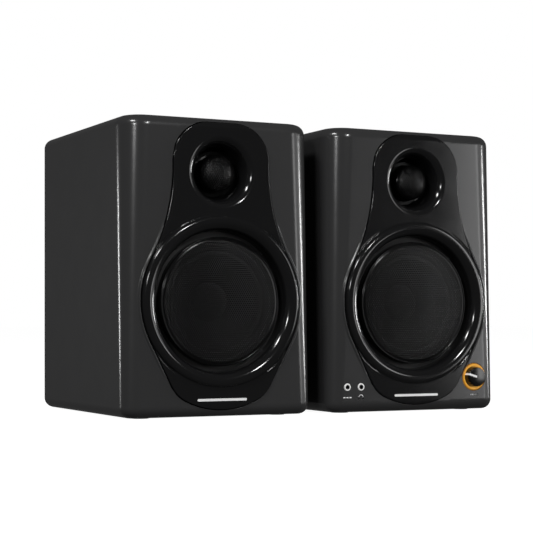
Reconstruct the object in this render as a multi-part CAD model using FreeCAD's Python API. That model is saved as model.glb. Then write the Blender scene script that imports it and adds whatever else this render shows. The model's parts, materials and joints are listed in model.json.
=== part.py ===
import FreeCAD, Part
import math
import os

# A pair of desktop speakers, in millimetres, +Z up, fronts facing -Y.
# Each speaker is drawn in its own frame: x = 0 on its centre line, y = 0 on the front plane and
# growing towards the back, z = 0 on the cabinet's underside. place() moves it into the pair.

V = FreeCAD.Vector
AXIS_Y = V(0, 1, 0)

# Cabinet
WIDTH = 164.4
DEPTH = 211.5
HEIGHT = 237.0
GAP_BETWEEN = 16.4
FOOT_HEIGHT = 1.0
SIDE_WALL = 10.0
FRONT_WALL = 18.0
REAR_WALL = 12.0
FRONT_RADIUS_LOW = 11.5
FRONT_RADIUS_HIGH = 21.5
REAR_RADIUS = 18.5
EDGE_RADIUS = 8.3

# Furthest points to the front and back, which centre the pair on y = 0
KNOB_FRONT = -5.8
PHONO_END = DEPTH + 9.0

# Fascia: a bottle shape round the woofer ring
WOOFER_Z = 91.5
RING_RADIUS = 68.6
NECK_HALF_WIDTH = 41.55
NECK_STRAIGHT_Z = 198.0
FASCIA_TOP = 233.0
TOP_CORNER_RADIUS = 30.0
FASCIA_BOTTOM = 5.8
FOOT_ANGLE = math.radians(27.1)
FOOT_CORNER_RADIUS = 26.0
FOOT_ARC_RADIUS = 70.0
NECK_STAND = 1.4
NECK_FILLET = 0.9
RING_CREST_RADIUS = 62.0
RING_STAND = 4.1
RING_FOOT = 0.4
FASCIA_SEAT = 6.0
FASCIA_GAP = 0.7
LIP_WIDTH = 2.8
LIP_RISE = 1.2

# Woofer
MOUTH_RADIUS = 56.4
FUNNEL_BACK = 8.5
FLANGE_FRONT = 9.5
FLANGE_BACK = 12.0
FLANGE_RADIUS = 61.5
COUNTERBORE_RADIUS = 62.5
WOOFER_HOLE_RADIUS = 50.5
GRILLE_RADIUS = 51.6
GRILLE_SHEET = 0.8
GRILLE_RIM_Y = 2.4
GRILLE_RISE = 3.6
CONE_RADIUS = 40.5
COIL_RADIUS = 13.0
SURROUND_OUTER = 46.8
SPIDER_Y = 36.0
PLATE_FRONT = 48.5
PLATE_THICK = 5.0
MAGNET_THICK = 16.0
MAGNET_RADIUS = 38.0
POLE_RADIUS = 12.2
GAP_RADIUS = 13.7

# Tweeter
TWEETER_Z = 194.0
DISH_RADIUS = 29.0
THROAT_RADIUS = 20.9
THROAT_FRONT = 13.5
THROAT_FLOOR = 19.0
TWEETER_BACK = 21.0
POT_RADIUS = 31.0
CAP_RADIUS = 18.2
DOME_RADIUS = 10.0

# Rear
REBATE_DEPTH = 3.5
PANEL_WIDTH = 131.4
PANEL_HEIGHT = 203.4
PANEL_CLEARANCE = 0.3
REAR_OPENING_INSET = 7.0
PANEL_SCREW_X = 61.8
PANEL_SCREW_Z = (22.0, 86.0, 151.0, 215.0)
PORT_Z = 178.0
PORT_RADIUS = 19.0
PORT_WALL = 2.5
PORT_LENGTH = 94.0
PORT_FLANGE = 27.0
TERMINAL_Z = 100.0
TERMINAL_WIDTH = 50.0
TERMINAL_HEIGHT = 28.0
LEVER_SPACING = 22.0
LEVER_RISE = 4.0
LEVER_BARREL = 2.4
LEVER_PIN = 1.0
LEVER_WIDTH = 12.0
LEVER_AXIS_Y = DEPTH - 2.6
LEVER_POCKET_DEPTH = 9.0
POWER_X = -34.0
POWER_Z = 42.0
INLET_OFFSET = -12.5
ROCKER_OFFSET = 12.5
PHONO_X = (20.0, 40.0)
PHONO_Z = 42.0
PHONO_RADIUS = 4.15

# Front controls of the right speaker
KNOB_X = 59.3
KNOB_Z = 27.9
KNOB_RADIUS = 8.8
KNOB_TIP_RADIUS = 8.3
KNOB_BACK = 3.4
LIGHT_RADIUS = 11.8
SHAFT_RADIUS = 3.0
SOCKET_X = (-66.2, -53.2)
SOCKET_Z = 21.2
SOCKET_NOSE = 3.1
SOCKET_BORE = 1.8
SOCKET_BORE_DEPTH = 16.0

# Shared clearances
RUNNING = 0.05
SCREW_RADIUS = 1.6


# ---------------------------------------------------------------- plain shapes

def box(x0, x1, y0, y1, z0, z1):
    return Part.makeBox(x1 - x0, y1 - y0, z1 - z0, V(x0, y0, z0))


def rod_y(radius, y0, y1, x=0.0, z=0.0):
    return Part.makeCylinder(radius, y1 - y0, V(x, y0, z), AXIS_Y)


def rod_x(radius, x0, x1, y, z):
    return Part.makeCylinder(radius, x1 - x0, V(x0, y, z), V(1, 0, 0))


def ring_y(inner, outer, y0, y1, x=0.0, z=0.0):
    return rod_y(outer, y0, y1, x, z).cut(rod_y(inner, y0 - 1, y1 + 1, x, z))


def path_wire(start, steps):
    """A closed wire. A step is the next corner, or (point on the arc, arc's end)."""
    edges = []
    here = start
    for step in steps:
        if isinstance(step, tuple):
            edges.append(Part.Arc(here, step[0], step[1]).toShape())
            here = step[1]
        else:
            edges.append(Part.LineSegment(here, step).toShape())
            here = step
    if here.distanceToPoint(start) > 1e-6:
        edges.append(Part.LineSegment(here, start).toShape())
    return Part.Wire(edges)


def turned(profile, x=0.0, z=0.0):
    """Revolves a profile of (radius, y) about the Y line through (x, z). An arc is a pair of pairs."""
    points = []
    for p in profile:
        if isinstance(p[0], tuple):
            points.append((V(p[0][0], p[0][1], 0), V(p[1][0], p[1][1], 0)))
        else:
            points.append(V(p[0], p[1], 0))
    face = Part.Face(path_wire(points[0], points[1:]))
    solid = face.revolve(V(0, 0, 0), AXIS_Y, 360)
    solid.translate(V(x, 0, z))
    return solid


def plate_y(width, height, radius, y0, y1, x=0.0, z=0.0):
    """A flat plate across Y with rounded corners, centred on (x, z)."""
    slab = box(x - width / 2, x + width / 2, y0, y1, z - height / 2, z + height / 2)
    upright = [e for e in slab.Edges if abs(e.Vertexes[0].Y - e.Vertexes[1].Y) > 0.1]
    return slab.makeFillet(radius, upright)


def fused(shapes):
    whole = shapes[0].multiFuse(shapes[1:])
    return whole.removeSplitter()


def dome_mid(apex_y, rim_radius, rim_y):
    """The point halfway along a dome's arc from its apex on the axis to its rim."""
    rise = rim_y - apex_y
    sphere = (rim_radius ** 2 + rise ** 2) / (2 * rise)
    half = math.asin(rim_radius / sphere) / 2
    return sphere * math.sin(half), apex_y + sphere * (1 - math.cos(half))


def cap_shell(radius, rim_y, apex_y, thickness, x=0.0, z=0.0):
    """A dome of sheet bulging forward from its rim."""
    inner_radius, inner_apex = radius - thickness, apex_y + thickness
    return turned([(0, apex_y), (dome_mid(apex_y, radius, rim_y), (radius, rim_y)), (inner_radius, rim_y),
                   (dome_mid(inner_apex, inner_radius, rim_y), (0, inner_apex))], x, z)


# ---------------------------------------------------------------- cabinet

def straight_edges(shape, direction, y_level=None):
    """The edges along one axis, kept to those at one depth if y_level is given."""
    found = []
    for e in shape.Edges:
        a, b = e.Vertexes[0].Point, e.Vertexes[-1].Point
        span = b - a
        along = abs(span.dot(direction)) > 0.99 * span.Length > 1.0
        if along and (y_level is None or abs(a.y - y_level) < 0.01):
            found.append(e)
    return found


def cabinet_blank():
    """The outside of the cabinet: big upright edges, then one radius round top and bottom."""
    up = V(0, 0, 1)
    shell = box(-WIDTH / 2, WIDTH / 2, 0, DEPTH, 0, HEIGHT)
    shell = shell.makeFillet(REAR_RADIUS, straight_edges(shell, up, DEPTH))
    for edge in straight_edges(shell, up, 0):
        rising = edge.Vertexes[0].Z < edge.Vertexes[-1].Z
        low, high = (FRONT_RADIUS_LOW, FRONT_RADIUS_HIGH)
        radii = (low, high) if rising else (high, low)
        same = [e for e in straight_edges(shell, up, 0)
                if abs(e.Vertexes[0].X - edge.Vertexes[0].X) < 0.01]
        shell = shell.makeFillet(radii[0], radii[1], same)
    loops = [e for e in shell.Edges
             if e.BoundBox.ZLength < 0.01 and (e.BoundBox.ZMin < 0.01 or e.BoundBox.ZMin > HEIGHT - 0.01)]
    return shell.makeFillet(EDGE_RADIUS, loops)


def fascia_outline():
    """The bottle outline, every stretch tangent to the next."""
    ring_z = WOOFER_Z
    rise = NECK_STRAIGHT_Z - ring_z
    flare = (NECK_HALF_WIDTH ** 2 + rise ** 2 - RING_RADIUS ** 2) / (2 * (RING_RADIUS - NECK_HALF_WIDTH))
    flare_x = NECK_HALF_WIDTH + flare
    shoulder = math.atan2(rise, flare_x)
    half_turn = shoulder / 2
    corner_x = NECK_HALF_WIDTH - TOP_CORNER_RADIUS
    corner_z = FASCIA_TOP - TOP_CORNER_RADIUS
    diagonal = TOP_CORNER_RADIUS * math.sqrt(0.5)

    side, down = math.sin(FOOT_ANGLE), math.cos(FOOT_ANGLE)
    leave = V(RING_RADIUS * down, 0, ring_z - RING_RADIUS * side)
    travel = V(-side, 0, -down)
    inward = V(-down, 0, side)
    foot_centre = V(0, 0, FASCIA_BOTTOM + FOOT_ARC_RADIUS)
    start = leave + inward * FOOT_CORNER_RADIUS - foot_centre
    reach = FOOT_ARC_RADIUS - FOOT_CORNER_RADIUS
    b = travel.dot(start)
    run = -b + math.sqrt(b * b - start.dot(start) + reach * reach)
    corner = leave + inward * FOOT_CORNER_RADIUS + travel * run
    corner_in = leave + travel * run
    radial = (corner - foot_centre).normalize()
    corner_out = foot_centre + radial * FOOT_ARC_RADIUS
    corner_mid = corner + ((corner_in - corner).normalize() + radial).normalize() * FOOT_CORNER_RADIUS

    def left(p):
        return V(-p.x, 0, p.z)

    top_in = V(corner_x, 0, FASCIA_TOP)
    top_mid = V(corner_x + diagonal, 0, corner_z + diagonal)
    top_out = V(NECK_HALF_WIDTH, 0, corner_z)
    neck = V(NECK_HALF_WIDTH, 0, NECK_STRAIGHT_Z)
    flare_mid = V(flare_x - flare * math.cos(half_turn), 0, NECK_STRAIGHT_Z - flare * math.sin(half_turn))
    join = V(RING_RADIUS * math.cos(shoulder), 0, ring_z + RING_RADIUS * math.sin(shoulder))
    belly_angle = (shoulder - FOOT_ANGLE) / 2
    belly = V(RING_RADIUS * math.cos(belly_angle), 0, ring_z + RING_RADIUS * math.sin(belly_angle))
    bottom = V(0, 0, FASCIA_BOTTOM)
    steps = [
        (top_mid, top_out), neck, (flare_mid, join), (belly, leave), corner_in,
        (corner_mid, corner_out), (bottom, left(corner_out)),
        (left(corner_mid), left(corner_in)), left(leave), (left(belly), left(join)),
        (left(flare_mid), left(neck)), left(top_out), (left(top_mid), left(top_in)),
    ]
    return path_wire(top_in, steps)


def bottle(y0, y1, grow=0.0):
    """A prism of the fascia outline from y0 to y1, grown all round."""
    wire = fascia_outline()
    if grow:
        wire = wire.makeOffset2D(grow)
    prism = Part.Face(wire).extrude(V(0, y1 - y0, 0))
    prism.translate(V(0, y0, 0))
    return prism


def ring_lip():
    """The low bead that the cabinet front raises round the fascia's ring."""
    inner = RING_RADIUS
    outer = RING_RADIUS + FASCIA_GAP + LIP_WIDTH
    middle = (inner + outer) / 2
    return turned([(inner, 1.0), (inner, -LIP_RISE * 0.7), ((middle, -LIP_RISE), (outer, 0.0)),
                   (outer, 1.0)], z=WOOFER_Z)


def panel_screw_spots():
    return [(x, z) for x in (-PANEL_SCREW_X, PANEL_SCREW_X) for z in PANEL_SCREW_Z]


def cabinet(active):
    shell = cabinet_blank().fuse(ring_lip())
    mid_z = HEIGHT / 2
    opening_w = PANEL_WIDTH - 2 * REAR_OPENING_INSET
    opening_h = PANEL_HEIGHT - 2 * REAR_OPENING_INSET
    cuts = [
        box(-WIDTH / 2 + SIDE_WALL, WIDTH / 2 - SIDE_WALL, FRONT_WALL, DEPTH - REAR_WALL,
            SIDE_WALL, HEIGHT - SIDE_WALL),
        plate_y(PANEL_WIDTH + 2 * PANEL_CLEARANCE, PANEL_HEIGHT + 2 * PANEL_CLEARANCE, 4.0,
                DEPTH - REBATE_DEPTH, DEPTH + 1, z=mid_z),
        plate_y(opening_w, opening_h, 3.0, DEPTH - REAR_WALL - 1, DEPTH, z=mid_z),
        bottle(-5, FASCIA_SEAT, FASCIA_GAP),
        rod_y(COUNTERBORE_RADIUS, FASCIA_SEAT - 1, FLANGE_BACK, z=WOOFER_Z),
        rod_y(WOOFER_HOLE_RADIUS, FASCIA_SEAT, FRONT_WALL + 1, z=WOOFER_Z),
        rod_y(POT_RADIUS + 0.6, FASCIA_SEAT - 1, FRONT_WALL + 1, z=TWEETER_Z),
    ]
    for x, z in panel_screw_spots():
        cuts.append(rod_y(SCREW_RADIUS + 0.1, DEPTH - 11, DEPTH, x, z))
    for x, z in woofer_screw_spots():
        cuts.append(rod_y(SCREW_RADIUS + 0.1, FLANGE_BACK - 1, FLANGE_BACK + 5, x, z))
    if active:
        cuts.append(rod_y(LIGHT_RADIUS + 0.2, -1, FASCIA_SEAT, KNOB_X, KNOB_Z))
        cuts.append(rod_y(5.1, 0, FRONT_WALL + 1, KNOB_X, KNOB_Z))
        for x in SOCKET_X:
            cuts.append(rod_y(SOCKET_NOSE + 0.15, -1, FRONT_WALL + 1, x, SOCKET_Z))
    return shell.cut(cuts)


def foot_pads():
    inset_x, inset_y = 22.0, 24.0
    pads = []
    for x in (-WIDTH / 2 + inset_x, WIDTH / 2 - inset_x):
        for y in (inset_y, DEPTH - inset_y):
            pads.append(Part.makeCylinder(7.0, FOOT_HEIGHT, V(x, y, -FOOT_HEIGHT)))
    return Part.Compound(pads)


# ---------------------------------------------------------------- fascia and grilles

def fascia():
    """Bottle plate with a proud ring round the woofer and a dish for the tweeter."""
    plate = bottle(-NECK_STAND, FASCIA_SEAT)
    rim = [e for e in plate.Edges if abs(e.BoundBox.YMax + NECK_STAND) < 0.01]
    plate = plate.makeFillet(NECK_FILLET, rim)
    foot = RING_RADIUS - 0.05
    ring = turned([(MOUTH_RADIUS - 2, 3.0), (MOUTH_RADIUS - 2, -RING_STAND), (RING_CREST_RADIUS, -RING_STAND),
                   ((66.4, -3.1), (foot, -RING_FOOT)), (foot, 3.0)], z=WOOFER_Z)
    collar = ring_y(MOUTH_RADIUS - 3, 60.0, FASCIA_SEAT - 1, FUNNEL_BACK, z=WOOFER_Z)
    pot = rod_y(POT_RADIUS, FASCIA_SEAT - 1, TWEETER_BACK, z=TWEETER_Z)
    mouth = turned([(0, -8), (RING_CREST_RADIUS, -8), (RING_CREST_RADIUS, -RING_STAND),
                    ((58.0, -2.3), (MOUTH_RADIUS, 2.2)), (MOUTH_RADIUS - 0.8, 12), (0, 12)],
                   z=WOOFER_Z)
    dish = turned([(0, -8), (DISH_RADIUS, -8), (DISH_RADIUS, -NECK_STAND),
                   ((26.6, -0.7), (24.0, 1.8)), ((22.1, 5.6), (THROAT_RADIUS, THROAT_FRONT)),
                   (THROAT_RADIUS, THROAT_FLOOR), (0, THROAT_FLOOR)], z=TWEETER_Z)
    window = rod_y(15.4, THROAT_FLOOR - 1, TWEETER_BACK + 1, z=TWEETER_Z)
    return plate.fuse([ring, collar, pot]).cut([mouth, dish, window])


def woofer_grille():
    """Sheet steel dome with a rolled rim and a skirt that seats on the basket's flange."""
    rim, sheet = GRILLE_RADIUS, GRILLE_SHEET
    apex = GRILLE_RIM_Y - GRILLE_RISE
    shoulder = (rim - 0.9, GRILLE_RIM_Y - 0.5)
    inside = (rim - sheet, GRILLE_RIM_Y + 0.6)
    return turned([(0, apex), (dome_mid(apex, *shoulder), shoulder),
                   ((rim - 0.2, GRILLE_RIM_Y - 0.3), (rim, GRILLE_RIM_Y + 0.5)),
                   (rim, FLANGE_FRONT), (rim - sheet, FLANGE_FRONT), inside,
                   (dome_mid(apex + sheet, *inside), (0, apex + sheet))], z=WOOFER_Z)


def tweeter_grille():
    """A mesh thimble: flange on the throat's floor, tapered wall, domed end."""
    sheet = 0.7
    apex, shoulder, inside = -0.8, (14.6, 7.0), (14.0, 7.6)
    lip = THROAT_FLOOR - sheet
    return turned([(0, apex), (dome_mid(apex, *shoulder), shoulder), (15.7, lip), (CAP_RADIUS, lip),
                   (CAP_RADIUS, THROAT_FLOOR), (15.1, THROAT_FLOOR), inside,
                   (dome_mid(apex + sheet, *inside), (0, apex + sheet))], z=TWEETER_Z)


# ---------------------------------------------------------------- woofer

def woofer_screw_spots():
    reach = 57.0 * math.sqrt(0.5)
    return [(sx * reach, WOOFER_Z + sz * reach) for sx in (-1, 1) for sz in (-1, 1)]


def woofer_basket():
    """Pressed frame: flange, sloping wall with four windows, spider ledge, rear ring."""
    wall_in, wall_out = 47.4, 48.9
    rear_in, rear_out = 32.5, 34.0
    flange = ring_y(SURROUND_OUTER, FLANGE_RADIUS, FLANGE_FRONT, FLANGE_BACK, z=WOOFER_Z)
    wall = turned([(SURROUND_OUTER, FLANGE_FRONT + 1), (wall_out, FLANGE_FRONT + 1),
                   (wall_out, FLANGE_BACK + 2), (rear_out, PLATE_FRONT), (rear_in, PLATE_FRONT),
                   (wall_in, FLANGE_BACK + 2)], z=WOOFER_Z)
    for quarter in range(4):
        window = box(-19, 19, FLANGE_BACK + 6, SPIDER_Y - 3, 28, 60)
        window.rotate(V(0, 0, 0), AXIS_Y, 90 * quarter)
        window.translate(V(0, 0, WOOFER_Z))
        wall = wall.cut(window)
    ledge = ring_y(31.0, 38.0, SPIDER_Y + 0.6, SPIDER_Y + 2.2, z=WOOFER_Z)
    rear = ring_y(20.0, rear_out, PLATE_FRONT - 2.5, PLATE_FRONT, z=WOOFER_Z)
    basket = flange.fuse([wall, ledge, rear])
    holes = [rod_y(SCREW_RADIUS + 0.1, FLANGE_FRONT - 1, FLANGE_BACK + 1, x, z)
             for x, z in woofer_screw_spots()]
    return basket.cut(holes)


def woofer_surround():
    """Half roll of rubber between the cone's lip and the basket."""
    front, back = FLANGE_FRONT - 0.5, FLANGE_FRONT
    inner, outer = CONE_RADIUS, SURROUND_OUTER
    middle = (inner + outer) / 2
    roll = (outer - inner) / 2
    return turned([(inner - 2, back), (inner - 2, front), (inner, front),
                   ((middle, front - roll), (outer, front)), (outer + 3.4, front),
                   (outer + 3.4, back), (outer - 0.5, back),
                   ((middle, back - roll + 0.5), (inner + 0.5, back))], z=WOOFER_Z)


def cone_front(radius):
    """Depth of the cone's front face at a radius."""
    lip, neck = CONE_RADIUS - 3, COIL_RADIUS
    return FLANGE_FRONT + (lip - radius) / (lip - neck) * 18.5


def woofer_cone():
    paper = 0.7
    lip = CONE_RADIUS - 3
    return turned([(CONE_RADIUS, FLANGE_FRONT), (CONE_RADIUS, FLANGE_FRONT + 0.5),
                   (lip - 0.6, FLANGE_FRONT + 0.5 + paper), (COIL_RADIUS, cone_front(COIL_RADIUS) + paper),
                   (COIL_RADIUS, cone_front(COIL_RADIUS)), (lip, FLANGE_FRONT)], z=WOOFER_Z)


def woofer_dust_cap():
    rim = 16.0
    return cap_shell(rim, cone_front(rim) - 0.1, cone_front(rim) - 6.5, 0.5, z=WOOFER_Z)


def woofer_spider():
    """Corrugated cloth disc from the coil to the basket's ledge."""
    waves = 4
    inner, outer = COIL_RADIUS + 0.02, 33.5
    pitch = (outer - inner - 4) / waves
    front = [(inner, SPIDER_Y)]
    for i in range(waves):
        start = inner + 2 + i * pitch
        front.append((start, SPIDER_Y))
        front.append((start + pitch / 4, SPIDER_Y - 1.2))
        front.append((start + 3 * pitch / 4, SPIDER_Y + 0.0))
    front.append((outer, SPIDER_Y))
    back = [(r, y + 0.6) for r, y in reversed(front)]
    return turned(front + back, z=WOOFER_Z)


def voice_coil():
    """Former tube with the winding round its rear end."""
    former = ring_y(COIL_RADIUS - 0.4, COIL_RADIUS, cone_front(COIL_RADIUS) - 1, 56.0, z=WOOFER_Z)
    winding = ring_y(COIL_RADIUS - 0.1, COIL_RADIUS + 0.3, 46.0, 56.0, z=WOOFER_Z)
    return former.fuse(winding)


def woofer_top_plate():
    return ring_y(GAP_RADIUS, 36.0, PLATE_FRONT, PLATE_FRONT + PLATE_THICK, z=WOOFER_Z)


def woofer_magnet():
    start = PLATE_FRONT + PLATE_THICK
    return ring_y(20.0, MAGNET_RADIUS, start, start + MAGNET_THICK, z=WOOFER_Z)


def woofer_back_plate():
    start = PLATE_FRONT + PLATE_THICK + MAGNET_THICK
    plate = rod_y(36.0, start, start + PLATE_THICK, z=WOOFER_Z)
    pole = rod_y(POLE_RADIUS, PLATE_FRONT, start + 1, z=WOOFER_Z)
    return plate.fuse(pole)


def woofer_screws():
    screws = []
    for x, z in woofer_screw_spots():
        head = rod_y(2.0, FUNNEL_BACK + 0.1, FLANGE_FRONT, x, z)
        screws.append(head.fuse(rod_y(SCREW_RADIUS, FLANGE_FRONT - 0.5, FLANGE_BACK + 4.5, x, z)))
    return Part.Compound(screws)


# ---------------------------------------------------------------- tweeter

def tweeter_frame():
    """Mounting ring and rear can in one moulding."""
    back = TWEETER_BACK
    return turned([(11.7, back), (30.0, back), (30.0, back + 2.5), (24.0, back + 2.5),
                   (24.0, back + 14.5), (0, back + 14.5), (0, back + 12.5), (22.0, back + 12.5),
                   (22.0, back + 2.5), (11.7, back + 2.5)], z=TWEETER_Z)


def tweeter_magnet():
    """Pot motor with an annular gap for the dome's coil."""
    front, rear = TWEETER_BACK + 4.0, TWEETER_BACK + 12.5
    gap = ring_y(DOME_RADIUS - 0.5, DOME_RADIUS + 0.7, front - 1, front + 5, z=TWEETER_Z)
    return rod_y(20.0, front, rear, z=TWEETER_Z).cut(gap)


def tweeter_dome():
    """Silk dome with its edge roll and coil former."""
    rim = TWEETER_BACK + 0.4
    cap = cap_shell(DOME_RADIUS, rim, rim - 4.2, 0.4, z=TWEETER_Z)
    edge = ring_y(DOME_RADIUS - 0.6, DOME_RADIUS + 1.3, rim - 0.1, rim + 0.5, z=TWEETER_Z)
    former = ring_y(DOME_RADIUS - 0.1, DOME_RADIUS + 0.3, rim, TWEETER_BACK + 7.0, z=TWEETER_Z)
    return cap.fuse([edge, former])


# ---------------------------------------------------------------- rear panels

def terminal_spots():
    return (-LEVER_SPACING / 2, LEVER_SPACING / 2)


def rear_panel(active):
    panel = plate_y(PANEL_WIDTH, PANEL_HEIGHT, 4.0, DEPTH - REBATE_DEPTH, DEPTH, z=HEIGHT / 2)
    cuts = [
        rod_y(PORT_RADIUS + PORT_WALL + 0.3, DEPTH - 6, DEPTH + 1, z=PORT_Z),
        box(-TERMINAL_WIDTH / 2 + 3, TERMINAL_WIDTH / 2 - 3, DEPTH - 6, DEPTH + 1,
            TERMINAL_Z - TERMINAL_HEIGHT / 2 + 3, TERMINAL_Z + TERMINAL_HEIGHT / 2 - 3),
    ]
    for x, z in panel_screw_spots():
        cuts.append(rod_y(SCREW_RADIUS + 0.2, DEPTH - 6, DEPTH + 1, x, z))
    if active:
        cuts.append(box(POWER_X - 23.4, POWER_X + 23.4, DEPTH - 6, DEPTH + 1,
                        POWER_Z - 11.4, POWER_Z + 11.4))
        for x in PHONO_X:
            cuts.append(rod_y(PHONO_RADIUS + 0.3, DEPTH - 6, DEPTH + 1, x, PHONO_Z))
    return panel.cut(cuts)


def panel_screws():
    screws = []
    for x, z in panel_screw_spots():
        head = rod_y(3.6, DEPTH, DEPTH + 1.8, x, z)
        head = head.makeFillet(0.8, [e for e in head.Edges if abs(e.BoundBox.YMin - DEPTH - 1.8) < 0.01])
        slot = box(x - 2.4, x + 2.4, DEPTH + 1.0, DEPTH + 3, z - 0.45, z + 0.45)
        cross = box(x - 0.45, x + 0.45, DEPTH + 1.0, DEPTH + 3, z - 2.4, z + 2.4)
        shank = rod_y(SCREW_RADIUS, DEPTH - 10.5, DEPTH + 0.5, x, z)
        screws.append(head.cut([slot, cross]).fuse(shank))
    return Part.Compound(screws)


def port_tube():
    """Bass port with a rounded mouth on the panel."""
    inner, outer = PORT_RADIUS, PORT_RADIUS + PORT_WALL
    front, face = DEPTH + 2.0 - PORT_LENGTH, DEPTH + 2.0
    return turned([(inner, front), (outer, front), (outer, DEPTH), (PORT_FLANGE, DEPTH),
                   (PORT_FLANGE, DEPTH + 1.0), (PORT_FLANGE - 1.0, face), (inner + 5.0, face),
                   ((inner + 1.46, face - 1.46), (inner, face - 5.0))], z=PORT_Z)


def terminal_block():
    """Holder of the two sprung wire clips, with a pocket for each lever and a wire hole below."""
    face = DEPTH + 2.0
    flange = plate_y(TERMINAL_WIDTH, TERMINAL_HEIGHT, 2.0, DEPTH, face, z=TERMINAL_Z)
    body = box(-TERMINAL_WIDTH / 2 + 3.3, TERMINAL_WIDTH / 2 - 3.3, DEPTH - 16, DEPTH + 0.5,
               TERMINAL_Z - TERMINAL_HEIGHT / 2 + 3.3, TERMINAL_Z + TERMINAL_HEIGHT / 2 - 3.3)
    cuts = []
    for x in terminal_spots():
        pocket_half = LEVER_WIDTH / 2 + 0.4
        cuts.append(box(x - pocket_half, x + pocket_half, DEPTH - LEVER_POCKET_DEPTH, face + 1,
                        TERMINAL_Z - 4.2, TERMINAL_Z + LEVER_RISE + 4.6))
        cuts.append(rod_x(LEVER_PIN + RUNNING, x - pocket_half - 1.6, x + pocket_half + 1.6,
                          LEVER_AXIS_Y, TERMINAL_Z + LEVER_RISE))
        cuts.append(rod_y(1.6, DEPTH - 12, face + 1, x, TERMINAL_Z - 7.5))
    return flange.fuse(body).cut(cuts)


def terminal_lever(x):
    """Barrel on two pin ends, with a paddle that is pressed down to open the clip."""
    z = TERMINAL_Z + LEVER_RISE
    half = LEVER_WIDTH / 2
    barrel = rod_x(LEVER_BARREL, x - half, x + half, LEVER_AXIS_Y, z)
    pins = rod_x(LEVER_PIN, x - half - 1.8, x + half + 1.8, LEVER_AXIS_Y, z)
    paddle = box(x - half, x + half, LEVER_AXIS_Y, DEPTH + 7.0, z - 1.3, z + 1.7)
    tip = [e for e in paddle.Edges if e.BoundBox.XLength > 5 and e.BoundBox.YMin > DEPTH + 6.9]
    return fused([barrel, pins, paddle.makeFillet(1.2, tip)])


# ---------------------------------------------------------------- electronics

def crossover_board():
    """Small filter board of the passive speaker, on two posts behind its panel."""
    y = DEPTH - 27.0
    back = DEPTH - REBATE_DEPTH
    board = box(-30, 30, y, y + 1.6, 34, 74)
    posts = [rod_y(3.0, y + 1.0, back, x, 54) for x in (-25, 25)]
    capacitor = rod_y(6.0, y - 18, y + 0.5, -14, 60)
    coil = ring_y(4.0, 10.0, y - 10, y + 0.5, 12, 52)
    return fused([board, capacitor, coil] + posts)


def amplifier_board():
    """Amplifier and supply board on four posts behind the aluminium panel."""
    y = DEPTH - 33.0
    back = DEPTH - REBATE_DEPTH
    solids = [box(-56, 56, y, y + 1.6, 62, 84), box(-56, 56, y, y + 1.6, 18, 63)]
    for x in (-52.0, 52.0):
        for z in (27.6, 78.0):
            solids.append(rod_y(2.6, y + 1.0, back, x, z))
    for x in (-38, -22, -6):
        solids.append(rod_y(6.0, y - 20, y + 0.5, x, 70))
    solids.append(box(14, 46, y - 6, y + 0.5, 62, 80))
    solids.append(box(-46, -10, y - 8, y + 0.5, 28, 50))
    solids.append(box(8, 44, y - 14, y + 0.5, 30, 48))
    return fused(solids)


def transformer():
    """Mains transformer standing on the cabinet floor: steel core, bobbin, two feet."""
    x0, x1, y0, y1 = -34.0, 34.0, 96.0, 132.0
    core = box(x0 + 6, x1 - 6, y0, y1, SIDE_WALL + 2, SIDE_WALL + 46)
    bobbin = box(x0 + 14, x1 - 14, y0 - 9, y1 + 9, SIDE_WALL + 12, SIDE_WALL + 36)
    feet = box(x0, x1, y0 + 8, y1 - 8, SIDE_WALL, SIDE_WALL + 2.5)
    return fused([core, bobbin, feet])


def mains_inlet():
    """Snap-in moulding with a two-pin inlet on one side and the rocker's pocket on the other."""
    face = DEPTH + 2.0
    flange = plate_y(53.0, 27.0, 2.0, DEPTH, face, POWER_X, POWER_Z)
    body = box(POWER_X - 23.0, POWER_X + 23.0, DEPTH - 18, DEPTH + 0.5, POWER_Z - 11, POWER_Z + 11)
    inlet_x, rocker_x = POWER_X + INLET_OFFSET, POWER_X + ROCKER_OFFSET
    socket = plate_y(15.6, 8.2, 3.9, DEPTH - 12, face + 1, inlet_x, POWER_Z)
    pocket = box(rocker_x - 7.0, rocker_x + 7.0, DEPTH - 10, face + 1, POWER_Z - 10.4, POWER_Z + 10.4)
    axle = rod_x(LEVER_PIN + RUNNING, rocker_x - 8.8, rocker_x + 8.8, DEPTH - 2.6, POWER_Z)
    shell = flange.fuse(body).cut([socket, pocket, axle])
    pins = [rod_y(1.2, DEPTH - 13, DEPTH - 2, inlet_x + dx, POWER_Z) for dx in (-4.3, 4.3)]
    return shell.fuse(pins)


def power_rocker():
    """Two-faced rocker on pin ends, leaning ten degrees to its off side."""
    x, y, z = POWER_X + ROCKER_OFFSET, DEPTH - 2.6, POWER_Z
    corners = [(-9.2, 4.2), (0.0, 2.8), (9.2, 4.2), (6.0, -3.2), (-6.0, -3.2)]
    points = [V(x - 6.6, y + dy, z + dz) for dz, dy in corners]
    body = Part.Face(path_wire(points[0], points[1:])).extrude(V(13.2, 0, 0))
    pins = rod_x(LEVER_PIN, x - 8.6, x + 8.6, y, z)
    rocker = body.fuse(pins)
    rocker.rotate(V(x, y, z), V(1, 0, 0), 10)
    return rocker


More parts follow.
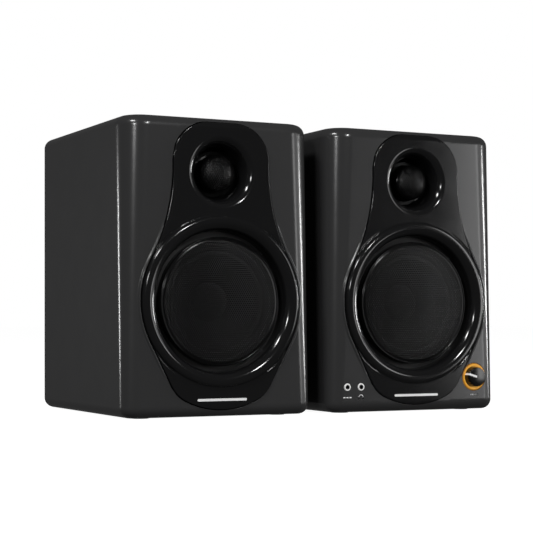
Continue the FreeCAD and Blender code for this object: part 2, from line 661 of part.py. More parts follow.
def phono_inputs():
    """Two phono sockets on one moulded block behind the panel."""
    back = DEPTH - REBATE_DEPTH
    middle = sum(PHONO_X) / 2
    solids = [box(middle - 17, middle + 17, back - 14, back, PHONO_Z - 7, PHONO_Z + 7)]
    for x in PHONO_X:
        solids.append(rod_y(PHONO_RADIUS, back - 1, PHONO_END, x, PHONO_Z))
        solids.append(rod_y(5.8, DEPTH, DEPTH + 1.5, x, PHONO_Z))
    block = fused(solids)
    cuts = []
    for x in PHONO_X:
        cuts.append(ring_y(1.9, PHONO_RADIUS - 0.7, DEPTH + 1.8, PHONO_END + 1, x, PHONO_Z))
        cuts.append(rod_y(1.25, DEPTH - 6, PHONO_END + 1, x, PHONO_Z))
    return block.cut(cuts)


# ---------------------------------------------------------------- front controls

def volume_knob():
    """Tapered knob with a rounded tip, bored from behind for its shaft."""
    tip, bend = KNOB_TIP_RADIUS, 0.8 * math.sqrt(0.5)
    around = (tip - 0.8 + bend, KNOB_FRONT + 0.8 - bend)
    body = turned([(0, KNOB_FRONT), (tip - 0.8, KNOB_FRONT), (around, (tip, KNOB_FRONT + 0.8)),
                   (KNOB_RADIUS, KNOB_BACK - 2.4), (KNOB_RADIUS, KNOB_BACK), (0, KNOB_BACK)], KNOB_X, KNOB_Z)
    bore = rod_y(SHAFT_RADIUS + RUNNING, KNOB_FRONT + 2.6, KNOB_BACK + 1, KNOB_X, KNOB_Z)
    return body.cut(bore)


def volume_shaft():
    return rod_y(SHAFT_RADIUS, KNOB_FRONT + 2.6, FRONT_WALL + 7, KNOB_X, KNOB_Z)


def knob_light_ring():
    """Clear collar round the knob that glows when the power is on."""
    outer, inner = LIGHT_RADIUS, KNOB_RADIUS + 0.3
    middle = (outer + inner) / 2
    return turned([(outer, 0.6), (outer, FASCIA_SEAT), (inner, FASCIA_SEAT), (inner, 1.0),
                   ((middle, -0.6), (outer, 0.6))], KNOB_X, KNOB_Z)


def volume_pot():
    bushing = rod_y(4.9, FASCIA_SEAT, FRONT_WALL + 1, KNOB_X, KNOB_Z)
    can = rod_y(8.5, FRONT_WALL, FRONT_WALL + 11, KNOB_X, KNOB_Z)
    bore = rod_y(SHAFT_RADIUS + RUNNING, 0, FRONT_WALL + 8, KNOB_X, KNOB_Z)
    return bushing.fuse(can).cut(bore)


def front_sockets():
    """Two 3.5 mm sockets with white noses."""
    sockets = []
    for x in SOCKET_X:
        nose = rod_y(SOCKET_NOSE, -0.5, FRONT_WALL + 1, x, SOCKET_Z)
        nose = nose.makeFillet(0.4, [e for e in nose.Edges if e.BoundBox.YMax < 0])
        body = box(x - 5.5, x + 5.5, FRONT_WALL, FRONT_WALL + 13, SOCKET_Z - 5.5, SOCKET_Z + 5.5)
        bore = rod_y(SOCKET_BORE, -1, SOCKET_BORE_DEPTH, x, SOCKET_Z)
        sockets.append(nose.fuse(body).cut(bore))
    return Part.Compound(sockets)


# ---------------------------------------------------------------- the pair

def speaker(active):
    """Every piece of one speaker in its own frame, by name."""
    left_x, right_x = terminal_spots()
    pieces = {
        "cabinet": cabinet(active),
        "fascia": fascia(),
        "foot_pads": foot_pads(),
        "rear_panel": rear_panel(active),
        "panel_screws": panel_screws(),
        "port_tube": port_tube(),
        "terminal_block": terminal_block(),
        "red_lever": terminal_lever(right_x),
        "black_lever": terminal_lever(left_x),
        "woofer_grille": woofer_grille(),
        "woofer_basket": woofer_basket(),
        "woofer_surround": woofer_surround(),
        "woofer_cone": woofer_cone(),
        "woofer_dust_cap": woofer_dust_cap(),
        "woofer_spider": woofer_spider(),
        "voice_coil": voice_coil(),
        "woofer_top_plate": woofer_top_plate(),
        "woofer_magnet": woofer_magnet(),
        "woofer_back_plate": woofer_back_plate(),
        "woofer_screws": woofer_screws(),
        "tweeter_grille": tweeter_grille(),
        "tweeter_frame": tweeter_frame(),
        "tweeter_magnet": tweeter_magnet(),
        "tweeter_dome": tweeter_dome(),
    }
    if active:
        pieces["volume_knob"] = volume_knob()
        pieces["volume_shaft"] = volume_shaft()
        pieces["knob_light_ring"] = knob_light_ring()
        pieces["volume_pot"] = volume_pot()
        pieces["front_sockets"] = front_sockets()
        pieces["amplifier_board"] = amplifier_board()
        pieces["transformer"] = transformer()
        pieces["mains_inlet"] = mains_inlet()
        pieces["power_rocker"] = power_rocker()
        pieces["phono_inputs"] = phono_inputs()
    else:
        pieces["crossover_board"] = crossover_board()
    return pieces


def place(shape, side):
    """Moves a piece from its speaker's frame to the pair's frame."""
    shape.translate(V(side * (WIDTH + GAP_BETWEEN) / 2, -(KNOB_FRONT + PHONO_END) / 2, FOOT_HEIGHT))
    return shape


def main():
    os.makedirs("parts", exist_ok=True)
    for name, side, active in (("left", -1, False), ("right", 1, True)):
        for piece, shape in speaker(active).items():
            place(shape, side).exportStep("parts/%s_%s.step" % (name, piece))


main()
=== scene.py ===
import bisect
import json
import math

import bmesh
import bpy
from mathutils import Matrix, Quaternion, Vector, geometry


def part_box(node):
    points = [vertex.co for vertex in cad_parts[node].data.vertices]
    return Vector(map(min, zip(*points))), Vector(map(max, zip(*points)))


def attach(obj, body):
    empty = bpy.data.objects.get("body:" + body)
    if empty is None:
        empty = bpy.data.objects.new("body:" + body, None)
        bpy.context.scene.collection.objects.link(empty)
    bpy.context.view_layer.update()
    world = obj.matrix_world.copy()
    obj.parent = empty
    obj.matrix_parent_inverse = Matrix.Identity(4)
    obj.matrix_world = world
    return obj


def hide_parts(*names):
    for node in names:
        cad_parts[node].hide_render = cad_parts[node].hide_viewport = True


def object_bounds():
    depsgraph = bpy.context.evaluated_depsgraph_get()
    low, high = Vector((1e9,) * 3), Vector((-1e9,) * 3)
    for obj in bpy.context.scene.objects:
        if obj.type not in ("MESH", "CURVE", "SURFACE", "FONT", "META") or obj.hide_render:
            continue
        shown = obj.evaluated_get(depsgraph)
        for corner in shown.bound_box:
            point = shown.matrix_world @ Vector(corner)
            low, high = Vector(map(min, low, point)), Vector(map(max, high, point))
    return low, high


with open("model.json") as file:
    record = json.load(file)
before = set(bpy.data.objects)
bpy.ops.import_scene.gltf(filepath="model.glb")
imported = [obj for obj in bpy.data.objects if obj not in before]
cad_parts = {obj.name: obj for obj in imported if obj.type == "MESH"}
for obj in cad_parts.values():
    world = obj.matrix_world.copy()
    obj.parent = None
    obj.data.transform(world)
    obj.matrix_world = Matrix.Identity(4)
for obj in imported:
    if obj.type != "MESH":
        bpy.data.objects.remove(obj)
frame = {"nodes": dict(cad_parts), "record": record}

CAD_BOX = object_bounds()
SIDES = ("left", "right")
NODES = frame["nodes"]
MM = 0.001

# Each speaker's own axes, from the frame: x on the grille's centre line, y on the cabinet front,
# z on the cabinet's underside. All piece sizes below are millimetres in those axes.
DEPTH = 211.5
HEIGHT = 237.0
WIDTH = 164.4


def speaker_origin(side):
    grille_low, grille_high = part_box(side + "_woofer_grille")
    pads_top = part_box(side + "_foot_pads")[1].z
    panel_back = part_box(side + "_rear_panel")[1].y
    return Vector(((grille_low.x + grille_high.x) / 2, panel_back - DEPTH * MM, pads_top))


ORIGIN = {side: speaker_origin(side) for side in SIDES}
HOME = {"left": "left_speaker", "right": "root"}

# Camera: where it stands, its heading and its field, level with the horizon
CAMERA_AT = (-0.5940, -1.1978, 0.0751)
CAMERA_HEADING = math.radians(-26.486)
CAMERA_LENS = 102.155
CAMERA_SHIFT_Y = 0.1066

# Fascia shape
WOOFER_Z = 91.5
TWEETER_Z = 194.0
RING_RADIUS = 68.6
NECK_HALF_WIDTH = 41.55
NECK_STRAIGHT_Z = 198.0
FASCIA_TOP = 233.0
TOP_CORNER_RADIUS = 30.0
FASCIA_BOTTOM = 5.8
FOOT_ANGLE = math.radians(27.1)
FOOT_CORNER_RADIUS = 26.0
FOOT_ARC_RADIUS = 70.0
FASCIA_GAP = 0.7
RING_STAND = 4.1
CREST_RADIUS = 63.6
RING_POWER = 4.5
RING_FOOT = 0.4
RING_BACK_RADIUS = 60.0
PLATE_STAND = 1.4
PLATE_ROUND = 0.6
GROOVE_WIDTH = 1.6
GROOVE_FADE_START = 44.0
GROOVE_FADE_END = 62.0
MOUTH_RADIUS = 56.4
MOUTH_Y = 3.2
MOUTH_BACK = 9.3
FASCIA_SEAT = 6.0
DISH_RADIUS = 29.0
THROAT_RADIUS = 20.9
THROAT_FRONT = 13.5
THROAT_FLOOR = 19.0
TWEETER_BACK = 21.0
TWEETER_OPENING = 15.4
POT_RADIUS = 31.0
POT_HOLE = 31.6

# Cabinet shape
FRONT_RADIUS_LOW = 11.5
FRONT_RADIUS_HIGH = 21.5
REAR_RADIUS = 18.5
EDGE_RADIUS = 8.3
SIDE_WALL = 10.0
FRONT_WALL = 18.0
REAR_WALL = 12.0
LIP_WIDTH = 2.4
LIP_CREST = 0.7
LIP_RISE = 1.2
LIP_FADE_START = 38.0
LIP_FADE_END = 54.0
RECESS_ROUND = 0.22
HOLE_ROUND = 0.15
FLANGE_SEAT = 62.5
FLANGE_BACK = 12.0
WOOFER_HOLE = 50.5
PANEL_WIDTH = 131.4
PANEL_HEIGHT = 203.4
PANEL_GAP = 0.3
PANEL_CORNER = 4.3
PANEL_LEDGE = 7.0
REBATE_DEPTH = 3.5

# Front controls of the right speaker
KNOB_X = 59.3
KNOB_Z = 27.9
KNOB_RADIUS = 8.8
KNOB_TIP_RADIUS = 8.3
KNOB_ROUND = 0.8
KNOB_FACE_Y = -5.75
KNOB_FLANK_START = KNOB_FACE_Y + KNOB_ROUND
KNOB_FLANK_END = 1.0
KNOB_BACK = 3.4
SHAFT_BORE = 3.05
SHAFT_BORE_END = KNOB_FACE_Y + 2.55
FLUTES = 18
FLUTE_DEPTH = 0.3
POINTER_ANGLE = math.radians(163)
POINTER_WIDTH = 1.8
LIGHT_RADIUS = 11.8
MARK_Z = 12.6
PRINT_LIFT = 0.04
BAR_Z = 13.5
BAR_WIDTH = 43.0
BAR_HEIGHT = 2.0
SOCKET_X = (-66.2, -53.2)
SOCKET_Z = 21.2
SOCKET_NOSE = 3.1
SOCKET_BORE = 1.8

# Grilles
GRILLE_RADIUS = 51.6
GRILLE_RIM_Y = 2.4
GRILLE_APEX_Y = -1.2
GRILLE_BACK = 9.4
TWEETER_MESH_RADIUS = 13.6
HOLE_PITCH = 1.8
HOLE_RADIUS = 0.66


# ---------------------------------------------------------------- node materials

def set_inputs(node, values):
    """Sets a node's inputs by name, with _ for each space."""
    for name, value in values.items():
        node.inputs[name.replace("_", " ")].default_value = value


def new_material(name, **values):
    mat = bpy.data.materials.new(name)
    mat.use_nodes = True
    shader = next(n for n in mat.node_tree.nodes if n.type == "BSDF_PRINCIPLED")
    set_inputs(shader, values)
    return mat, mat.node_tree, shader


def add_node(tree, kind, **values):
    node = tree.nodes.new(kind)
    set_inputs(node, values)
    return node


def object_point(tree):
    return tree.nodes.new("ShaderNodeTexCoord").outputs["Object"]


def texture(tree, kind, point=None, **values):
    """A texture read at the object's own point, unless another is given."""
    node = add_node(tree, "ShaderNodeTex" + kind, **values)
    tree.links.new(point or object_point(tree), node.inputs["Vector"])
    return node


def noise(tree, scale, detail=3.0, point=None):
    return texture(tree, "Noise", point, Scale=scale, Detail=detail, Roughness=0.55).outputs["Fac"]


def mapped_point(tree, **values):
    node = add_node(tree, "ShaderNodeMapping", **values)
    tree.links.new(object_point(tree), node.inputs["Vector"])
    return node.outputs["Vector"]


def spread(tree, factor, low, high):
    """Carries a factor's range from 0.2 to 0.8 to the range from low to high."""
    node = add_node(tree, "ShaderNodeMapRange", From_Min=0.2, From_Max=0.8, To_Min=low, To_Max=high)
    tree.links.new(factor, node.inputs["Value"])
    return node.outputs["Result"]


def multiplied(tree, one, other):
    node = tree.nodes.new("ShaderNodeMath")
    node.operation = "MULTIPLY"
    tree.links.new(one, node.inputs[0])
    tree.links.new(other, node.inputs[1])
    return node.outputs["Value"]


def two_tone(tree, factor, dark, light):
    node = tree.nodes.new("ShaderNodeMix")
    node.data_type = "RGBA"
    node.inputs[6].default_value = (*dark, 1.0)
    node.inputs[7].default_value = (*light, 1.0)
    tree.links.new(spread(tree, factor, 0.0, 1.0), node.inputs[0])
    return node.outputs[2]


def shades(tree, factor, colour, low, high):
    """The colour made darker and lighter by a factor's pattern."""
    dark, light = ([min(1.0, c * share) for c in colour] for share in (low, high))
    return two_tone(tree, factor, dark, light)


def wire(tree, shader, colour, roughness):
    tree.links.new(colour, shader.inputs["Base Color"])
    tree.links.new(roughness, shader.inputs["Roughness"])


def add_bump(tree, shader, height, strength, distance):
    node = add_node(tree, "ShaderNodeBump", Strength=strength, Distance=distance)
    tree.links.new(height, node.inputs["Height"])
    tree.links.new(node.outputs["Normal"], shader.inputs["Normal"])


def surface(name, colour, rough=(0.3, 0.4), grain=900.0, bump=0.15, depth=0.0001, variation=0.15,
            metallic=0.0, specular=0.5):
    """A moulded or painted surface: cloudy colour, cloudy roughness and a fine grain."""
    mat, tree, shader = new_material(name, Metallic=metallic, Specular_IOR_Level=specular)
    wire(tree, shader, shades(tree, noise(tree, 14.0, 4.0), colour, 1 - variation, 1 + variation),
         spread(tree, noise(tree, 43.4, 5.0), *rough))
    add_bump(tree, shader, noise(tree, grain, 2.0), bump, depth)
    return mat


def pebbled(name, colour, rough, cell, bump, depth, specular=0.5):
    """Textured moulding: rounded grains between fine valleys."""
    mat, tree, shader = new_material(name, Specular_IOR_Level=specular)
    wire(tree, shader, shades(tree, noise(tree, 18.0, 4.0), colour, 0.8, 1.2),
         spread(tree, noise(tree, 60.0, 4.0), *rough))
    grains = texture(tree, "Voronoi", Scale=1.0 / cell)
    grains.feature = "SMOOTH_F1"
    add_bump(tree, shader, grains.outputs["Distance"], bump, depth)
    return mat


def woven(name, colour, pitch, rough, bump):
    """Cloth of crossing threads, for the spider and the dome."""
    mat, tree, shader = new_material(name, Sheen_Weight=0.2)
    waves = []
    for direction in ("X", "Z"):
        wave = texture(tree, "Wave", Scale=1.0 / pitch / 20.0, Distortion=0.4)
        wave.bands_direction = direction
        waves.append(wave.outputs["Fac"])
    crossing = multiplied(tree, *waves)
    wire(tree, shader, shades(tree, crossing, colour, 0.6, 1.25), spread(tree, noise(tree, 90.0), *rough))
    add_bump(tree, shader, crossing, bump, 0.0002)
    return mat


def brushed(name, colour, rough, metallic=1.0):
    """Turned or plated metal with fine streaks across its axis."""
    mat, tree, shader = new_material(name, Metallic=metallic)
    streaks = noise(tree, 1.0, point=mapped_point(tree, Scale=(40.0, 900.0, 40.0)))
    wire(tree, shader, shades(tree, streaks, colour, 0.8, 1.1), spread(tree, streaks, *rough))
    add_bump(tree, shader, streaks, 0.08, 0.00005)
    return mat


def layered_board(name):
    """Green solder resist with paler tracks."""
    mat, tree, shader = new_material(name)
    tracks = texture(tree, "Brick", mapped_point(tree, Rotation=(math.pi / 2, 0, 0)), Scale=130.0,
                     Color1=(0.015, 0.13, 0.045, 1), Color2=(0.02, 0.17, 0.06, 1), Mortar=(0.05, 0.26, 0.1, 1))
    wire(tree, shader, tracks.outputs["Color"], spread(tree, noise(tree, 60.0), 0.25, 0.4))
    add_bump(tree, shader, tracks.outputs["Fac"], 0.2, 0.0001)
    return mat


def wound_coil(name):
    """Enamelled wire, turn beside turn."""
    mat, tree, shader = new_material(name, Metallic=0.9)
    turns = texture(tree, "Wave", Scale=160.0)
    turns.bands_direction = "Y"
    wire(tree, shader, two_tone(tree, turns.outputs["Fac"], (0.3, 0.11, 0.04), (0.75, 0.36, 0.17)),
         spread(tree, noise(tree, 70.0), 0.22, 0.34))
    add_bump(tree, shader, turns.outputs["Fac"], 0.4, 0.0002)
    return mat


def across_ring(tree, centre, inner, outer):
    """0 at the inner radius round an axis along Y and 1 at the outer one."""
    flat = tree.nodes.new("ShaderNodeVectorMath")
    flat.operation = "MULTIPLY"
    flat.inputs[1].default_value = (1.0, 0.0, 1.0)
    tree.links.new(object_point(tree), flat.inputs[0])
    offset = tree.nodes.new("ShaderNodeVectorMath")
    offset.operation = "DISTANCE"
    offset.inputs[1].default_value = (centre.x, 0.0, centre.z)
    tree.links.new(flat.outputs["Vector"], offset.inputs[0])
    across = add_node(tree, "ShaderNodeMapRange", From_Min=inner, From_Max=outer)
    tree.links.new(offset.outputs["Value"], across.inputs["Value"])
    return across.outputs["Result"]


def white_noses(name):
    """White moulding, mottled a little, with painted shade: black inside each socket's bore."""
    mat, tree, shader = new_material(name)
    mottle_and_bore_shade = spread(tree, noise(tree, 900.0), 0.9, 1.0)
    # painted shade: the mask turns the white moulding black inside each socket's bore
    for x in SOCKET_X:
        centre = ORIGIN["right"] + Vector((x, 0.0, SOCKET_Z)) * MM
        outside = across_ring(tree, centre, (SOCKET_BORE + 0.05) * MM, (SOCKET_BORE + 0.15) * MM)
        mottle_and_bore_shade = multiplied(tree, mottle_and_bore_shade, outside)
    wire(tree, shader, two_tone(tree, mottle_and_bore_shade, (0.004, 0.004, 0.004), (0.92, 0.92, 0.9)),
         spread(tree, noise(tree, 600.0), 0.3, 0.42))
    return mat


def glowing_amber(name, centre, inner, outer):
    """Clear plastic lit from behind, its glow real; the ramp paints a highlight beside the knob and painted
    shade, brown, at its outer edge.
    """
    mat, tree, shader = new_material(name, Emission_Strength=0.55)
    # painted highlight at the inner edge fading to painted shade at the outer edge, in both base colour and
    # glow
    glow_highlight_and_shade = tree.nodes.new("ShaderNodeValToRGB")
    glow_highlight_and_shade.color_ramp.elements[0].color = (0.82, 0.42, 0.09, 1)
    glow_highlight_and_shade.color_ramp.elements[1].color = (0.2, 0.075, 0.008, 1)
    middle = glow_highlight_and_shade.color_ramp.elements.new(0.55)
    middle.color = (0.62, 0.29, 0.03, 1)
    tree.links.new(across_ring(tree, centre, inner, outer), glow_highlight_and_shade.inputs["Fac"])
    wire(tree, shader, glow_highlight_and_shade.outputs["Color"], spread(tree, noise(tree, 400.0), 0.2, 0.32))
    tree.links.new(glow_highlight_and_shade.outputs["Color"], shader.inputs["Emission Color"])
    return mat


def make_materials():
    knob_low, knob_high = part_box("right_knob_light_ring")
    knob_centre = (knob_low + knob_high) / 2
    return {
        "cabinet_paint": surface("satin_charcoal", (0.032, 0.032, 0.0325), (0.18, 0.21), grain=1700.0,
                                 bump=0.05, depth=0.00005, variation=0.04),
        "fascia_gloss": surface("gloss_black", (0.006, 0.006, 0.0063), (0.09, 0.13), grain=500.0,
                                bump=0.012, variation=0.1),
        "rubber_pad": pebbled("pad_rubber", (0.02, 0.02, 0.02), (0.75, 0.9), 0.0006, 0.4, 0.0001, 0.3),
        "screw_black": surface("blacked_steel", (0.03, 0.03, 0.032), (0.28, 0.42), metallic=0.7, bump=0.1),
        "port_plastic": pebbled("port_moulding", (0.014, 0.014, 0.014), (0.45, 0.55), 0.0005, 0.25, 0.00008),
        "terminal_plastic": pebbled("terminal_moulding", (0.018, 0.018, 0.019), (0.4, 0.5), 0.0004, 0.2,
                                    0.00006),
        "lever_red": surface("red_moulding", (0.48, 0.018, 0.015), (0.25, 0.35), variation=0.1),
        "lever_black": surface("black_moulding", (0.013, 0.013, 0.013), (0.22, 0.32), variation=0.1),
        "grille_steel": surface("grille_paint", (0.0016, 0.0016, 0.0017), (0.15, 0.2), grain=2200.0,
                                bump=0.05, depth=0.00005, specular=0.25),
        "basket_steel": surface("basket_paint", (0.012, 0.012, 0.012), (0.45, 0.6), metallic=0.2),
        "surround_rubber": pebbled("surround_rubber_skin", (0.006, 0.006, 0.006), (0.6, 0.75), 0.0005, 0.2,
                                   0.00006, 0.1),
        "cone_paper": surface("pressed_pulp", (0.004, 0.004, 0.0042), (0.7, 0.85), grain=420.0, bump=0.6,
                              depth=0.0002, variation=0.3, specular=0.08),
        "spider_cloth": woven("resin_cotton", (0.33, 0.2, 0.07), 0.0006, (0.6, 0.75), 0.5),
        "coil_copper": wound_coil("enamelled_wire"),
        "motor_steel": brushed("plated_steel", (0.5, 0.5, 0.5), (0.22, 0.38)),
        "magnet_ferrite": surface("sintered_ferrite", (0.045, 0.045, 0.048), (0.6, 0.8), grain=800.0,
                                  bump=0.5, variation=0.25),
        "dome_silk": woven("doped_silk", (0.013, 0.013, 0.013), 0.0003, (0.4, 0.5), 0.3),
        "knob_black": surface("knob_moulding", (0.002, 0.002, 0.002), (0.12, 0.18), grain=1500.0, bump=0.05,
                              depth=0.00005, specular=0.4),
        "light_amber": glowing_amber("lit_amber", knob_centre, KNOB_RADIUS * MM, LIGHT_RADIUS * MM),
        "socket_white": white_noses("socket_moulding"),
        "circuit_board": layered_board("solder_resist"),
        "transformer_steel": brushed("varnished_laminations", (0.3, 0.27, 0.22), (0.4, 0.6), 0.7),
        "panel_plastic": pebbled("panel_moulding", (0.017, 0.017, 0.017), (0.5, 0.62), 0.0006, 0.3, 0.0001),
        "panel_metal": surface("panel_powder_coat", (0.017, 0.017, 0.018), (0.42, 0.55), grain=1100.0,
                               bump=0.3),
        "phono_nickel": brushed("nickel_plate", (0.72, 0.7, 0.66), (0.14, 0.26)),
        "print_white": surface("printed_ink", (0.92, 0.92, 0.92), (0.45, 0.55), variation=0.06),
    }


def dress_cad_nodes(materials):
    """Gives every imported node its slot's finished material."""
    for part in frame["record"]["subparts"]:
        mesh = NODES[part["node"]].data
        mesh.materials.clear()
        mesh.materials.append(materials[part["material_slot"]])
        for polygon in mesh.polygons:
            polygon.material_index = 0


# ---------------------------------------------------------------- mesh helpers

def new_mesh(name, side, points, faces, material):
    """A smooth mesh from millimetre points in a speaker's axes."""
    mesh = bpy.data.meshes.new(name)
    mesh.from_pydata([ORIGIN[side] + Vector(p) * MM for p in points], [], faces)
    mesh.materials.append(material)
    mesh.shade_smooth()
    return mesh


def place(name, mesh, body, slot):
    piece = bpy.data.objects.new(name, mesh)
    bpy.context.scene.collection.objects.link(piece)
    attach(piece, body)
    return piece


def make_piece(name, side, points, faces, material, slot, body=None, sharp=40.0):
    """A piece from points and faces, riding on its speaker unless a body is named."""
    mesh = new_mesh(name, side, points, faces, material)
    mesh.validate()
    mesh.set_sharp_from_angle(angle=math.radians(sharp))
    mesh.update()
    return place(name, mesh, body or HOME[side], slot)


def circle_points(radius, centre_x, centre_z, count, phase=0.0):
    found = []
    for k in range(count):
        a = 2 * math.pi * (k + phase) / count
        found.append((centre_x + radius * math.cos(a), centre_z + radius * math.sin(a)))
    return found


def tube_faces(rings, steps):
    """Quads between rings of as many points, numbered ring after ring."""
    faces = []
    for ring in range(rings - 1):
        for k in range(steps):
            a, b = ring * steps + k, ring * steps + (k + 1) % steps
            faces.append((a, b, b + steps, a + steps))
    return faces


def lathe(profile, centre_z, steps):
    """Points and quads of a profile of (radius, y) turned about the Y line through the centre."""
    points = [(x, y, z) for radius, y in profile for x, z in circle_points(radius, 0.0, centre_z, steps)]
    return points, tube_faces(len(profile), steps)


def arc_points(centre, radius, start, end, count):
    """Points on an arc in a plane, angles in degrees."""
    found = []
    for k in range(count + 1):
        a = math.radians(start + (end - start) * k / count)
        found.append((centre[0] + radius * math.cos(a), centre[1] + radius * math.sin(a)))
    return found


# ---------------------------------------------------------------- shells from loops

class Shell:
    """Points in the speaker's axes with their normals, and the faces between them."""

    def __init__(self):
        self.points, self.normals, self.faces = [], [], []

    def add(self, point, normal):
        self.points.append(tuple(point))
        self.normals.append(Vector(normal).normalized())
        return len(self.points) - 1

    def loop(self, flat, y, normal):
        """Adds a ring of (x, z) points; y and normal may be functions of (x, z)."""
        found = []
        for k, (x, z) in enumerate(flat):
            depth = y(x, z) if callable(y) else y
            facing = normal(x, z) if callable(normal) else normal
            found.append(self.add((x, depth, z), facing[k] if isinstance(facing, list) else facing))
        return found

    def circle(self, radius, z, count, y, normal):
        return self.loop(circle_points(radius, 0, z, count), y, normal)

    def strips(self, rings):
        """Quads from each ring to the next, which has as many points."""
        for one, other in zip(rings, rings[1:]):
            for k in range(len(one)):
                n = (k + 1) % len(one)
                self.faces.append((one[k], one[n], other[n], other[k]))

    def sheet(self, rings, keep, spots=(), y=0.0, normal=(0, -1, 0)):
        """Triangles between the rings wherever keep(x, z) holds, through the extra spots."""
        index = [i for ring in rings for i in ring]
        edges, start = [], 0
        for ring in rings:
            edges += [(start + k, start + (k + 1) % len(ring)) for k in range(len(ring))]
            start += len(ring)
        index += self.loop(spots, y, normal)
        flat = [Vector((self.points[i][0], self.points[i][2])) for i in index]
        cut = geometry.delaunay_2d_cdt(flat, edges, [], 1, 1e-6)
        for triangle in cut[2]:
            x = sum(cut[0][i][0] for i in triangle) / 3
            z = sum(cut[0][i][1] for i in triangle) / 3
            if keep(x, z):
                self.faces.append(tuple(index[cut[3][i][0]] for i in triangle))

    def piece(self, name, side, material, slot):
        """The shell as an object whose faces all look outward."""
        mesh = new_mesh(name, side, self.points, self.faces, material)
        work = bmesh.new()
        work.from_mesh(mesh)
        bmesh.ops.recalc_face_normals(work, faces=work.faces)
        work.to_mesh(mesh)
        work.free()
        mesh.normals_split_custom_set_from_vertices(self.normals)
        return place(name, mesh, HOME[side], slot)


class Spots:
    """Fill points for a sheet, each kept at its distance from all placed before it."""

    CELL = 2.0

    def __init__(self, fixed):
        self.cells = {}
        self.kept = []
        for p in fixed:
            self.cells.setdefault(self.key(p), []).append(p)

    def key(self, p):
        return int(p[0] // self.CELL), int(p[1] // self.CELL)

    def free(self, p, distance):
        i, j = self.key(p)
        for a in range(i - 1, i + 2):
            for b in range(j - 1, j + 2):
                for q in self.cells.get((a, b), ()):
                    if math.hypot(p[0] - q[0], p[1] - q[1]) < distance:
                        return False
        return True

    def offer(self, candidates, distance, allowed):
        for p in candidates:
            if allowed(*p) and self.free(p, distance):
                self.kept.append(p)
                self.cells.setdefault(self.key(p), []).append(p)


def lattice(x_reach, z_low, z_high, pitch):
    """Staggered rows of points over a rectangle."""
    found = []
    for row in range(int((z_high - z_low) / pitch) + 1):
        for column in range(-int(x_reach / pitch) - 1, int(x_reach / pitch) + 2):
            found.append(((column + 0.5 * (row % 2)) * pitch, z_low + row * pitch))
    return found


def loop_normals(flat):
    """Outward direction at each point of an anticlockwise loop, in the (x, z) plane."""
    found = []
    for k in range(len(flat)):
        before, after = flat[k - 1], flat[(k + 1) % len(flat)]
        along = Vector((after[0] - before[0], after[1] - before[1])).normalized()
        found.append(Vector((along.y, -along.x)))
    return found


def offset_loop(flat, distance):
    return [(p[0] + n.x * distance, p[1] + n.y * distance) for p, n in zip(flat, loop_normals(flat))]


def slope_normal(surface, x, z, facing=-1.0):
    """Normal of y = surface(x, z), looking towards -Y or +Y."""
    step = 0.04
    dx = (surface(x + step, z) - surface(x - step, z)) / (2 * step)
    dz = (surface(x, z + step) - surface(x, z - step)) / (2 * step)
    return Vector((-dx, 1.0, -dz)) * facing


def clear_of(woofer_radius, tweeter_radius):
    """Tests whether (x, z) lies outside a circle round each driver's axis."""
    return lambda x, z: (math.hypot(x, z - WOOFER_Z) > woofer_radius
                         and math.hypot(x, z - TWEETER_Z) > tweeter_radius)


def rounded_rectangle(width, height, radius, centre_z, steps=8, spacing=6.0):
    """Anticlockwise loop with even points along its straight runs."""
    found = []
    corners = [(1, 1, 0), (-1, 1, 90), (-1, -1, 180), (1, -1, 270)]
    for index, (sx, sz, start) in enumerate(corners):
        cx, cz = sx * (width / 2 - radius), centre_z + sz * (height / 2 - radius)
        for k in range(steps + 1):
            a = math.radians(start + 90 * k / steps)
            found.append((cx + radius * math.cos(a), cz + radius * math.sin(a)))
        run = (width if index % 2 == 0 else height) - 2 * radius
        count = max(1, round(run / spacing))
        here = found[-1]
        step_x, step_z = [(-1, 0), (0, -1), (1, 0), (0, 1)][index]
        for k in range(1, count):
            found.append((here[0] + step_x * run * k / count, here[1] + step_z * run * k / count))
    return found


# ---------------------------------------------------------------- cabinet

def front_radius(z):
    return FRONT_RADIUS_LOW + (FRONT_RADIUS_HIGH - FRONT_RADIUS_LOW) * z / HEIGHT


def edge_inset(z):
    """How far the rounding along the top and bottom pulls the walls in at a height."""
    reach = max(0.0, z - (HEIGHT - EDGE_RADIUS), EDGE_RADIUS - z)
    return EDGE_RADIUS - math.sqrt(max(0.0, EDGE_RADIUS ** 2 - reach ** 2))


def wall_recess(x, z, radius):
    """How far a rounded front or rear lies behind its flat middle."""
    inset = edge_inset(z)
    beyond = abs(x) - (WIDTH / 2 - radius)
    if beyond <= 0:
        return inset
    share = min(0.9999, beyond / (radius - inset))
    return radius - (radius - inset) * math.sqrt(1 - share * share)


def lip_height(x, z):
    """The bead that the cabinet raises beside the fascia's ring, fading out above and below."""
    beyond = math.hypot(x, z - WOOFER_Z) - OUTLINE.reach(x, z) - FASCIA_GAP
    if not 0 <= beyond < LIP_WIDTH:
        return 0.0
    angle = abs(math.degrees(math.atan2(z - WOOFER_Z, abs(x))))
    fade = 1 - smooth_step(LIP_FADE_START, LIP_FADE_END, angle)
    return LIP_RISE * fade * 0.5 * (1 + math.cos(math.pi * (beyond - LIP_CREST) / (LIP_WIDTH - LIP_CREST)))


def body_front(x, z):
    return wall_recess(x, z, front_radius(z))


def cabinet_front(x, z):
    return body_front(x, z) - lip_height(x, z)


def cabinet_rear(x, z):
    return DEPTH - wall_recess(x, z, REAR_RADIUS)


